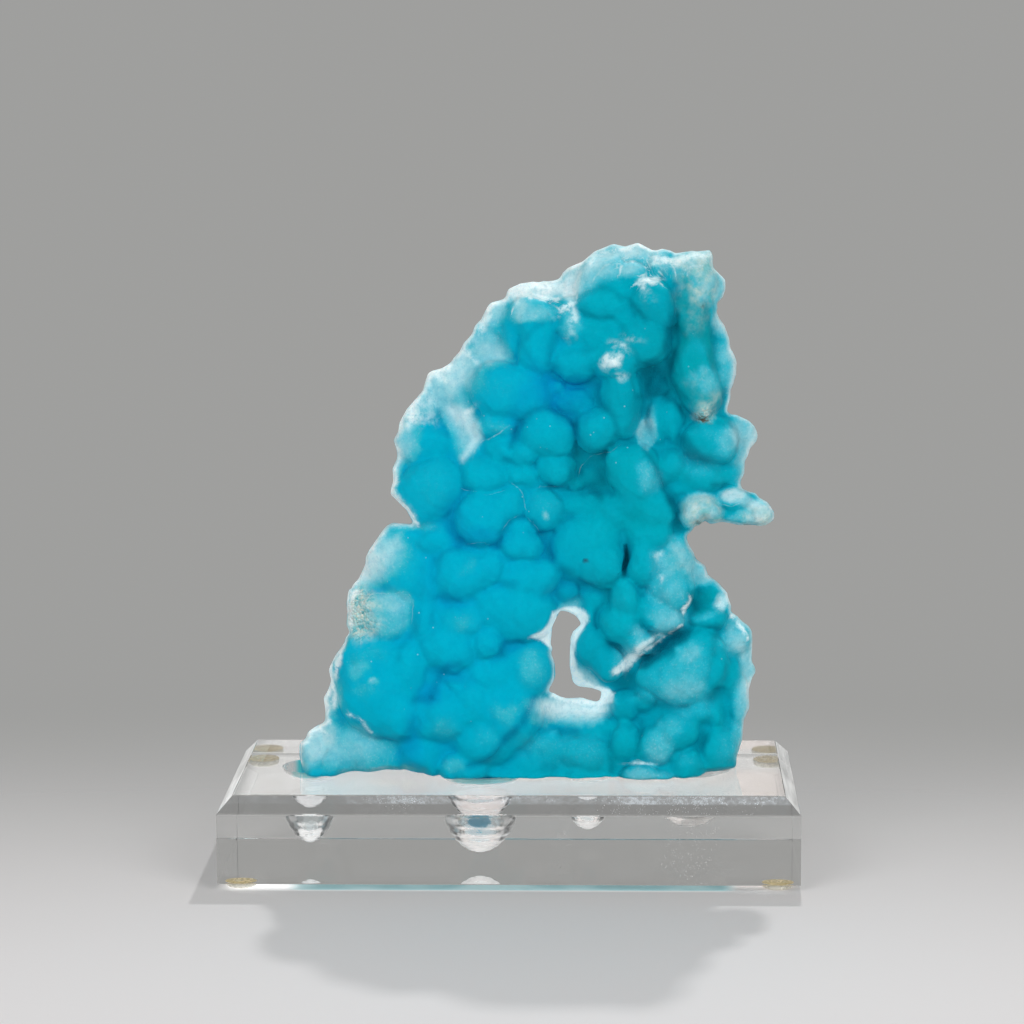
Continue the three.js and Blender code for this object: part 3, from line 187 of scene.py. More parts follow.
# Lumps of the back: centre, half sizes.
BACK = [
    (37.5, 5.6, 174.0, 6.1, 4.4, 6.0), (48.0, 6.5, 172.7, 5.2, 3.7, 4.8), (27.3, 6.3, 171.8, 6.9, 5.0, 6.8),
    (17.9, 5.8, 166.6, 5.9, 4.3, 5.5), (55.2, 6.5, 166.0, 6.5, 4.7, 6.0), (6.0, 8.6, 161.1, 6.6, 4.8, 6.7),
    (38.9, 8.2, 153.5, 11.1, 8.0, 11.6), (57.1, 8.1, 152.2, 6.3, 4.5, 7.1), (19.0, 10.6, 150.7, 9.5, 6.9, 9.5),
    (-5.3, 6.5, 150.6, 6.4, 4.6, 6.1), (-13.8, 7.5, 142.6, 5.1, 3.7, 5.1), (30.6, 12.2, 136.0, 8.5, 6.1, 9.0),
    (1.1, 10.9, 135.8, 8.6, 6.2, 7.9), (51.7, 5.3, 134.6, 10.5, 7.6, 9.8), (-18.6, 6.3, 128.4, 11.4, 8.2, 11.9),
    (15.1, 10.2, 127.4, 8.1, 5.8, 8.6), (62.6, 6.2, 125.0, 6.5, 4.7, 6.5), (42.3, 10.5, 121.8, 7.8, 5.6, 8.8),
    (3.3, 10.3, 119.5, 9.5, 6.8, 9.6), (53.2, 7.8, 113.7, 8.4, 6.1, 8.2), (-25.5, 7.6, 113.3, 6.0, 4.3, 6.1),
    (31.9, 9.0, 107.9, 10.6, 7.6, 9.7), (-12.1, 7.5, 107.8, 10.7, 7.7, 11.3), (59.4, 7.9, 104.6, 5.0, 3.6, 4.4),
    (14.8, 9.0, 103.4, 11.3, 8.1, 11.1), (69.0, 5.3, 103.1, 6.5, 4.7, 5.7), (-24.1, 6.5, 101.5, 5.1, 3.7, 4.4),
    (45.9, 5.4, 96.0, 6.1, 4.4, 6.5), (-24.4, 8.7, 91.2, 7.0, 5.0, 6.1), (-8.0, 10.9, 90.3, 8.5, 6.1, 7.6),
    (-34.1, 8.8, 86.6, 6.7, 4.8, 7.2), (46.3, 6.9, 86.3, 5.8, 4.2, 5.4), (32.3, 9.3, 86.2, 8.5, 6.1, 8.6),
    (13.2, 7.7, 82.1, 6.7, 4.8, 6.4), (-20.9, 10.8, 77.5, 8.6, 6.2, 9.2), (-39.3, 7.5, 73.5, 6.0, 4.3, 6.5),
    (45.4, 8.6, 72.0, 8.0, 5.8, 7.5), (56.5, 7.9, 71.7, 5.8, 4.1, 5.2), (2.2, 5.9, 71.2, 9.3, 6.7, 10.6),
    (30.8, 6.6, 70.9, 10.0, 7.2, 9.6), (-29.1, 11.2, 66.5, 8.1, 5.9, 9.0), (-15.6, 10.1, 64.1, 8.7, 6.3, 8.2),
    (21.4, 6.1, 63.3, 5.4, 3.9, 5.7), (65.6, 4.5, 61.9, 6.6, 4.8, 6.9), (41.9, 10.6, 58.5, 8.6, 6.2, 7.4),
    (55.2, 8.5, 57.4, 7.9, 5.7, 7.1), (-39.9, 7.1, 56.2, 10.4, 7.5, 9.0), (30.1, 7.3, 53.4, 5.0, 3.6, 4.8),
    (-3.2, 7.2, 51.0, 11.3, 8.1, 9.7), (-23.6, 9.3, 48.7, 9.4, 6.7, 8.2), (60.6, 8.1, 48.1, 5.4, 3.9, 5.4),
    (11.7, 6.0, 42.5, 6.2, 4.5, 6.0), (33.1, 7.4, 42.5, 6.5, 4.7, 5.5), (-45.3, 7.1, 41.9, 8.8, 6.4, 9.0),
    (61.4, 7.3, 36.5, 5.2, 3.8, 6.0), (43.0, 9.2, 34.2, 9.2, 6.7, 9.7), (-30.1, 6.4, 32.6, 6.8, 4.9, 6.4),
    (21.8, 7.7, 32.5, 10.1, 7.3, 11.5), (-52.4, 8.3, 30.8, 6.6, 4.7, 7.1), (-16.5, 7.6, 30.6, 9.4, 6.8, 8.5),
    (55.4, 8.3, 29.9, 5.6, 4.0, 5.4), (-41.0, 5.9, 29.8, 5.4, 3.9, 5.4), (1.8, 5.2, 29.1, 11.1, 8.0, 11.7),
]
# Hollows cut into the front, in the same form as the lumps.
CUTS = [
    (33.2, -13.0, 90.7, 0.9, 6.5, 4.7, 0.5, 8),
    (43.9, -13.5, 66.1, 8.6, 6.0, 1.8, 0.6, -34),
    (52.2, -12.5, 76.7, 0.9, 4.5, 4.3, 0.8, 16),
]
# Patches of the front's surface: kind, centre x, z on the plane y = 0, half sizes, lean, strength, softness. Deep, dark
# and teal patches are painted shade in valleys, creases, pits and recesses; pale ones are partly paler crust and partly
# painted highlight on the lumps' crowns.
PATCHES = [
    ("pale", 25.4, 173.0, 6.9, 3.8, 0, 0.4, 0.7), ("pale", 27.1, 176.4, 11.6, 1.7, 0, 0.4, 0.8),
    ("pale", 34.8, 173.5, 4.0, 1.7, 0, 0.4, 0.7), ("pale", 22.5, 169.6, 2.6, 4.0, 0, 0.3, 0.8),
    ("pale", 17.7, 168.5, 4.0, 6.4, 0, 0.62, 0.5), ("pale", 36.8, 177.5, 4.3, 1.7, 0, 0.4, 0.8),
    ("pale", 43.1, 175.8, 5.2, 2.0, 0, 0.5, 0.8), ("pale", 53.6, 174.6, 7.5, 4.6, 0, 0.62, 0.6),
    ("pale", 56.5, 168.9, 4.6, 4.6, 0, 0.45, 0.8), ("pale", 59.3, 166.6, 2.9, 4.6, 0, 0.35, 0.7),
    ("pale", 7.1, 167.0, 9.8, 2.6, 0, 0.95, 0.5), ("pale", 1.7, 165.1, 3.5, 2.9, 0, 0.7, 0.7),
    ("pale", 6.2, 160.2, 6.1, 4.0, 0, 0.55, 0.5), ("pale", 17.9, 157.6, 4.3, 4.6, 0, 0.42, 0.7),
    ("pale", 39.7, 164.4, 3.5, 2.9, 0, 0.28, 1), ("pale", 41.7, 158.6, 4.0, 2.9, 0, 0.12, 1),
    ("blue", -3.1, 136.8, 9.0, 9.0, 0, 1, 0.08), ("blue", 5.6, 151.8, 6.9, 6.4, 0, 0.9, 0.15),
    ("blue", -22.1, 110.7, 8.7, 9.8, 0, 0.7, 0.6), ("blue", -6.4, 120.0, 5.2, 4.6, 0, 0.8, 0.3),
    ("blue", 41.4, 161.5, 6.1, 8.7, 0, 0.8, 0.1), ("blue", 27.1, 163.0, 8.1, 4.9, 0, 0.8, 0.2),
    ("blue", -11.8, 88.3, 10.4, 5.8, 0, 0.6, 0.6), ("blue", -35.0, 46.8, 9.3, 9.8, 0, 0.35, 0.6),
    ("blue", -20.7, 67.7, 11.6, 8.7, 0, 0.4, 0.6), ("blue", 2.5, 55.2, 8.7, 9.8, 0, 0.35, 0.2),
    ("pale", -4.9, 160.5, 4.3, 4.0, 0, 0.4, 0.8), ("pale", -8.4, 152.4, 7.5, 8.1, 30, 0.34, 0.8),
    ("pale", -5.6, 147.8, 5.8, 2.9, 10, 0.5, 0.8), ("pale", -15.7, 143.2, 8.7, 5.2, 30, 0.6, 0.8),
    ("pale", -18.1, 136.6, 6.4, 7.5, 0, 0.3, 0.8), ("pale", -14.9, 132.2, 4.0, 7.5, -28, 0.3, 0.7),
    ("pale", -12.7, 123.5, 2.6, 5.2, -32, 0.4, 0.6), ("pale", -13.8, 129.9, 4.0, 1.7, -40, 0.4, 0.7),
    ("pale", -23.5, 135.7, 5.2, 6.4, 0, 0.4, 0.9), ("pale", -28.8, 127.9, 4.0, 6.4, 10, 0.5, 0.9),
    ("pale", -30.3, 121.5, 3.2, 3.8, 0, 0.55, 0.8), ("pale", -33.0, 112.4, 2.0, 7.5, 0, 0.45, 0.8),
    ("pale", -22.6, 109.5, 5.8, 6.4, 0, 0.1, 1), ("pale", -24.8, 97.8, 4.6, 1.7, 0, 0.25, 0.9),
    ("pale", -2.8, 139.1, 5.8, 5.2, 0, 0.1, 1), ("pale", -4.3, 127.8, 5.2, 2.3, 0, 0.22, 0.9),
    ("pale", 56.0, 141.3, 4.6, 4.0, 0, 0.34, 0.9), ("pale", 53.7, 149.4, 3.5, 2.9, 0, 0.14, 1),
    ("pale", 60.2, 157.4, 2.0, 4.6, -15, 0.7, 0.6), ("pale", 62.0, 148.8, 2.9, 2.9, 0, 0.42, 0.8),
    ("pale", 63.1, 142.2, 2.3, 6.4, 0, 0.3, 0.8), ("pale", 66.7, 124.5, 4.3, 5.8, 0, 0.66, 0.6),
    ("pale", 62.4, 122.8, 4.0, 4.3, 0, 0.4, 0.6), ("pale", 58.0, 126.3, 4.0, 2.9, 0, 0.18, 1),
    ("pale", 39.7, 112.9, 3.5, 5.2, -12, 0.34, 0.8), ("pale", 40.5, 129.2, 2.0, 3.5, 0, 0.3, 0.7),
    ("pale", 37.4, 126.3, 2.3, 4.0, 0, 0.18, 1), ("pale", 56.9, 113.5, 5.8, 2.3, 0, 0.1, 1),
    ("pale", 54.7, 105.0, 5.2, 3.2, 0, 0.62, 0.5), ("pale", 54.7, 101.0, 5.8, 2.3, 0, 0.55, 0.6),
    ("pale", 64.4, 107.7, 4.6, 2.6, 0, 0.72, 0.4), ("pale", 72.0, 102.4, 4.3, 3.5, 0, 0.72, 0.6),
    ("pale", 66.8, 101.2, 4.0, 1.7, 0, 0.45, 0.7), ("pale", 10.2, 101.3, 1.0, 1.3, 0, 0.55, 0.7),
    ("pale", 10.0, 104.2, 3.5, 3.5, 0, 0.14, 1), ("pale", 45.5, 81.3, 6.4, 6.4, 0, 0.36, 0.8),
    ("pale", 43.7, 88.3, 4.6, 4.0, 0, 0.36, 0.9), ("pale", 49.5, 91.9, 2.9, 4.6, 0, 0.58, 0.7),
    ("pale", 52.4, 86.6, 3.5, 3.2, 0, 0.6, 0.7), ("pale", 47.8, 76.6, 4.0, 4.0, 0, 0.2, 0.9),
    ("pale", 44.4, 71.8, 5.2, 3.2, 20, 0.34, 0.7), ("pale", 37.4, 64.7, 4.6, 2.6, 32, 0.4, 0.8),
    ("pale", 32.2, 60.0, 3.5, 3.5, 0, 0.24, 0.9), ("pale", 33.0, 77.1, 2.3, 3.5, 0, 0.06, 1),
    ("pale", 57.1, 71.8, 3.5, 2.0, 0, 0.26, 0.9), ("pale", 61.1, 76.0, 2.3, 2.9, 0, 0.55, 0.7),
    ("pale", 55.3, 83.6, 4.0, 2.0, -30, 0.5, 0.8), ("pale", 52.5, 61.2, 4.0, 3.5, 0, 0.36, 0.8),
    ("pale", 50.2, 50.5, 6.4, 3.2, 0, 0.26, 0.9), ("pale", 51.3, 55.8, 5.8, 5.8, 0, 0.18, 1),
    ("pale", 42.4, 32.5, 4.3, 5.2, 0, 0.4, 0.7), ("pale", 47.3, 38.5, 4.9, 4.3, 0, 0.26, 0.8),
    ("pale", 51.4, 28.4, 3.5, 2.6, 0, 0.16, 0.9), ("pale", 64.7, 64.7, 5.2, 4.9, 0, 0.42, 0.8),
    ("pale", 67.1, 46.9, 2.3, 13.3, 0, 0.26, 0.9), ("pale", 63.1, 32.0, 3.5, 5.8, 0, 0.2, 1),
    ("pale", 37.7, 24.4, 5.8, 2.9, 0, 0.46, 0.5), ("pale", 44.4, 24.1, 2.9, 1.7, 0, 0.26, 0.8),
    ("pale", 21.3, 31.3, 6.4, 4.6, 0, 0.08, 1), ("pale", 8.2, 34.3, 7.5, 2.9, 0, 0.1, 1),
    ("pale", 17.0, 44.8, 10.4, 3.5, 0, 0.62, 0.7), ("pale", 24.6, 43.0, 3.5, 3.5, 0, 0.5, 0.6),
    ("pale", -37.9, 91.9, 6.4, 7.5, 20, 0.6, 0.7), ("pale", -42.1, 85.4, 2.9, 5.8, 30, 0.6, 0.7),
    ("pale", -40.3, 84.8, 4.3, 5.8, 30, 0.55, 0.7), ("pale", -32.7, 88.3, 5.8, 6.4, 0, 0.22, 1),
    ("pale", -34.6, 75.9, 5.2, 3.5, 0, 0.42, 0.6), ("pale", -34.7, 70.0, 5.8, 5.2, 0, 0.22, 0.8),
    ("pale", -14.0, 70.0, 5.2, 3.2, 0, 0.2, 0.9), ("pale", -13.0, 86.0, 2.6, 2.9, 0, 0.16, 0.9),
    ("pale", -44.5, 56.0, 3.2, 2.6, 0, 0.3, 0.8), ("pale", -40.5, 52.5, 1.4, 1.2, 0, 0.52, 0.5),
    ("pale", -43.1, 49.5, 4.3, 2.9, 0, 0.2, 0.9), ("pale", -42.4, 60.2, 5.2, 3.5, 0, 0.16, 1),
    ("pale", 6.0, 56.4, 4.6, 5.8, 0, 0.3, 0.6), ("pale", -19.8, 38.7, 4.0, 3.5, 0, 0.2, 0.8),
    ("pale", -1.1, 43.2, 4.3, 4.0, 0, 0.26, 0.8), ("pale", -7.6, 34.9, 4.6, 2.9, 0, 0.16, 0.9),
    ("pale", -16.7, 27.3, 3.5, 2.9, 0, 0.28, 0.6), ("pale", -50.4, 32.4, 11.6, 6.4, 0, 0.5, 0.8),
    ("pale", -40.1, 31.2, 6.4, 5.8, 0, 0.2, 0.7), ("pale", -59.2, 32.4, 4.0, 5.8, 0, 0.42, 0.8),
    ("pale", -52.3, 45.3, 2.3, 7.5, 10, 0.5, 0.8), ("pale", -54.8, 36.0, 4.6, 2.9, 30, 0.4, 0.8),
    ("deep", 11.6, 137.4, 8.7, 5.2, 0, 0.8, 0.8), ("deep", 21.9, 139.7, 5.8, 2.0, 0, 0.4, 0.8),
    ("deep", 7.6, 142.6, 4.0, 3.5, 0, 0.34, 0.9), ("deep", 18.7, 133.9, 6.9, 5.2, 0, 0.5, 0.9),
    ("deep", -8.9, 95.4, 7.5, 2.6, 0, 0.45, 0.8), ("deep", -15.2, 100.1, 3.5, 6.9, -10, 0.36, 0.9),
    ("deep", 1.7, 129.3, 2.6, 6.4, 20, 0.36, 0.9), ("deep", 17.8, 128.1, 1.7, 6.4, -20, 0.4, 0.8),
    ("deep", -23.8, 48.6, 2.9, 4.0, 35, 0.55, 0.8), ("deep", -17.4, 54.6, 6.4, 2.6, 20, 0.4, 0.8),
    ("deep", -29.2, 37.8, 3.2, 6.9, 15, 0.4, 0.8), ("deep", -30.5, 30.3, 4.6, 4.6, 0, 0.34, 0.9),
    ("deep", -23.5, 83.0, 3.5, 8.1, 10, 0.24, 0.9), ("deep", -17.2, 76.8, 5.8, 2.3, 0, 0.26, 0.9),
    ("deep", -1.0, 62.9, 5.2, 2.3, 0, 0.32, 0.9), ("deep", 14.8, 79.5, 6.9, 3.5, 0, 0.26, 0.9),
    ("deep", 33.0, 48.4, 6.4, 3.5, 0, 0.2, 0.9), ("deep", 36.2, 42.1, 2.9, 5.2, 0, 0.24, 0.9),
    ("deep", 25.2, 60.3, 5.8, 7.5, 0, 0.24, 0.9), ("deep", 28.2, 160.4, 8.7, 2.9, 0, 0.12, 1),
    ("teal", 23.6, 112.4, 5.8, 5.8, 0, 0.42, 0.7), ("teal", 41.4, 140.8, 4.3, 4.9, 0, 0.95, 0.5),
    ("teal", 45.7, 150.9, 2.3, 11.6, 0, 0.48, 0.8), ("teal", 25.9, 104.5, 12.1, 3.5, 0, 0.16, 1),
    ("teal", 36.2, 132.1, 2.6, 8.7, -8, 0.3, 0.9), ("teal", 51.2, 121.7, 2.6, 4.0, -20, 0.12, 0.8),
    ("teal", 45.4, 121.7, 2.3, 3.5, 0, 0.1, 0.9), ("teal", 47.8, 104.2, 1.7, 4.0, -20, 0.3, 0.8),
    ("teal", 44.1, 62.9, 8.7, 2.6, 34, 0.6, 0.5), ("teal", 54.8, 78.9, 3.5, 4.0, 0, 0.35, 0.8),
    ("teal", 60.1, 49.9, 1.7, 4.6, 10, 0.08, 0.8), ("teal", 56.1, 33.8, 1.4, 4.0, 10, 0.06, 0.8),
    ("teal", 40.8, 160.4, 8.7, 8.7, 0, 0.1, 1), ("teal", 37.4, 149.5, 7.5, 6.4, 0, 0.14, 1),
    ("teal", 31.6, 135.0, 5.8, 10.4, 0, 0.16, 1), ("teal", 52.8, 158.0, 5.2, 11.6, 0, 0.2, 0.9),
    ("teal", 52.9, 136.4, 5.2, 6.4, 0, 0.12, 1), ("teal", 62.4, 58.8, 4.0, 6.4, 0, 0.06, 0.9),
    ("green", 53.7, 153.7, 5.8, 14.5, 0, 0.85, 0.7), ("green", 52.6, 139.3, 5.8, 6.9, 0, 0.75, 0.8),
    ("green", 54.5, 163.8, 5.8, 6.9, 0, 0.45, 0.8), ("green", 41.7, 149.4, 2.9, 8.7, 0, 0.35, 0.9),
    ("green", 37.4, 114.7, 7.5, 8.7, 0, 0.3, 0.9), ("green", 40.3, 100.1, 11.6, 5.8, 0, 0.35, 0.9),
    ("green", 25.9, 114.7, 8.7, 6.9, 0, 0.3, 0.9), ("green", 54.6, 114.7, 8.7, 4.6, 0, 0.4, 0.9),
    ("green", 58.9, 123.4, 6.4, 5.8, 0, 0.3, 0.9), ("green", 54.8, 76.6, 8.7, 6.9, 0, 0.5, 0.9),
    ("frost_and_rim_light", 29.9, 146.3, 2.0, 2.3, 20, 0.85, 0.9), ("frost_and_rim_light", 27.6, 145.4, 1.4, 1.7, 0, 0.6, 0.9),
    ("frost_and_rim_light", 31.7, 150.6, 3.8, 1.7, 30, 0.45, 0.9), ("frost_and_rim_light", 35.1, 152.9, 3.5, 1.2, 25, 0.35, 0.9),
    ("frost_and_rim_light", 32.2, 142.0, 2.3, 1.4, 0, 0.45, 0.9), ("frost_and_rim_light", 40.2, 169.5, 3.8, 1.0, -6, 0.95, 0.6),
    ("frost_and_rim_light", 37.9, 167.8, 2.3, 0.6, 25, 0.6, 0.7), ("frost_and_rim_light", 39.1, 165.0, 2.0, 2.9, 0, 0.22, 0.9),
    ("frost_and_rim_light", 8.8, 164.8, 7.5, 0.8, 4, 0.85, 0.6), ("frost_and_rim_light", 15.9, 161.3, 4.6, 1.4, -32, 0.9, 0.8),
    ("frost_and_rim_light", 18.8, 159.3, 2.0, 2.3, 0, 0.7, 0.9), ("frost_and_rim_light", 17.4, 155.8, 2.3, 3.5, 0, 0.32, 0.9),
    ("frost_and_rim_light", 6.5, 167.9, 9.8, 1.2, 0, 0.9, 0.8), ("frost_and_rim_light", -28.2, 131.1, 2.6, 2.6, 0, 0.95, 0.9),
    ("frost_and_rim_light", -24.8, 129.3, 4.0, 2.9, 0, 0.5, 0.9), ("frost_and_rim_light", -23.0, 134.5, 2.9, 2.3, 0, 0.4, 0.9),
    ("frost_and_rim_light", -20.0, 142.6, 4.6, 1.2, 25, 0.7, 0.8), ("frost_and_rim_light", -11.4, 147.2, 3.5, 1.2, 40, 0.5, 0.8),
    ("frost_and_rim_light", -7.3, 157.6, 1.2, 4.0, 30, 0.6, 0.8), ("frost_and_rim_light", -13.2, 130.8, 4.3, 1.2, -38, 0.6, 0.9),
    ("frost_and_rim_light", 33.0, 57.6, 1.7, 4.3, 48, 0.85, 0.8), ("frost_and_rim_light", 36.8, 60.9, 1.2, 3.5, 42, 0.8, 0.8),
    ("frost_and_rim_light", 50.1, 73.0, 0.9, 1.7, 0, 0.7, 0.7), ("frost_and_rim_light", 43.2, 89.5, 2.9, 1.7, 0, 0.4, 0.9),
    ("frost_and_rim_light", 43.5, 83.3, 0.9, 1.7, 0, 0.55, 0.8), ("frost_and_rim_light", 61.1, 75.4, 1.7, 2.6, 0, 0.55, 0.8),
    ("frost_and_rim_light", 63.8, 71.3, 1.2, 1.2, 0, 0.8, 0.8), ("frost_and_rim_light", -46.5, 77.7, 1.4, 2.6, 0, 0.95, 0.7),
    ("frost_and_rim_light", -46.9, 71.2, 0.9, 4.0, 0, 0.75, 0.8), ("frost_and_rim_light", -50.9, 57.2, 1.2, 5.2, 12, 0.85, 0.7),
    ("frost_and_rim_light", -52.0, 46.8, 0.9, 4.0, 0, 0.7, 0.8), ("frost_and_rim_light", -49.4, 62.3, 0.9, 3.5, 30, 0.8, 0.8),
    ("frost_and_rim_light", -56.8, 38.1, 4.0, 0.9, 22, 0.85, 0.8), ("frost_and_rim_light", 37.7, 28.0, 5.2, 0.6, 0, 0.55, 0.7),
    ("frost_and_rim_light", 41.6, 174.7, 1.7, 1.4, 0, 0.45, 0.9), ("frost_and_rim_light", 45.1, 173.5, 1.7, 1.4, 0, 0.4, 0.9),
    ("frost_and_rim_light", 51.6, 176.9, 5.8, 0.5, 3, 0.5, 0.8), ("beige", 54.5, 163.8, 2.9, 5.2, 0, 0.6, 0.8),
    ("beige", 53.6, 157.5, 3.5, 4.0, 0, 0.42, 0.9), ("beige", 48.8, 164.9, 2.3, 4.0, 0, 0.3, 0.9),
    ("beige", 55.1, 139.6, 4.0, 4.0, 0, 0.26, 0.9), ("beige", 58.0, 135.0, 2.3, 4.0, 15, 0.48, 0.8),
    ("beige", 55.2, 132.7, 3.2, 2.0, 0, 0.55, 0.8), ("beige", 54.5, 173.5, 6.4, 2.9, 0, 0.42, 0.8),
    ("beige", 57.9, 176.3, 2.3, 2.3, 0, 0.4, 0.8), ("beige", 43.1, 173.5, 4.0, 2.3, 0, 0.24, 0.9),
    ("beige", 55.3, 100.4, 5.8, 1.7, 0, 0.62, 0.7), ("beige", 69.7, 100.7, 5.8, 1.7, 0, 0.5, 0.8),
    ("beige", 48.9, 88.3, 4.0, 5.8, 0, 0.28, 0.9), ("beige", -38.7, 74.8, 5.2, 5.2, 0, 0.3, 0.9),
    ("beige", 60.8, 143.1, 2.9, 5.8, 0, 0.22, 0.9), ("grain", -44.6, 73.0, 4.0, 8.1, 0, 1, 0.45),
    ("grain", -40.5, 68.2, 4.0, 3.5, 0, 0.6, 0.8), ("grain", -39.9, 75.9, 2.3, 2.6, 0, 0.6, 0.7),
    ("grain", 56.9, 131.5, 2.0, 2.0, 0, 0.75, 0.7), ("grain", 54.6, 130.1, 2.3, 1.2, 0, 0.6, 0.7),
    ("grain", 73.1, 101.2, 2.6, 2.3, 0, 0.4, 0.8), ("grain", 53.8, 99.2, 2.6, 0.9, 0, 0.8, 0.7),
    ("brown", 55.7, 129.5, 2.0, 1.2, 0, 0.95, 0.7), ("brown", 53.7, 130.9, 1.2, 0.6, 0, 0.8, 0.7),
    ("brown", 54.7, 98.9, 1.4, 0.8, 30, 0.9, 0.5), ("brown", 68.5, 98.6, 2.3, 0.4, 0, 0.8, 0.6),
    ("brown", 55.1, 162.0, 0.6, 0.6, 0, 0.8, 0.6), ("dark", 21.3, 88.1, 0.8, 0.6, 0, 1, 0.4),
    ("brown", 21.3, 88.1, 0.4, 0.3, 0, 0.6, 0.4), ("dark", -23.3, 47.4, 1.2, 0.6, 30, 0.7, 0.6),
]
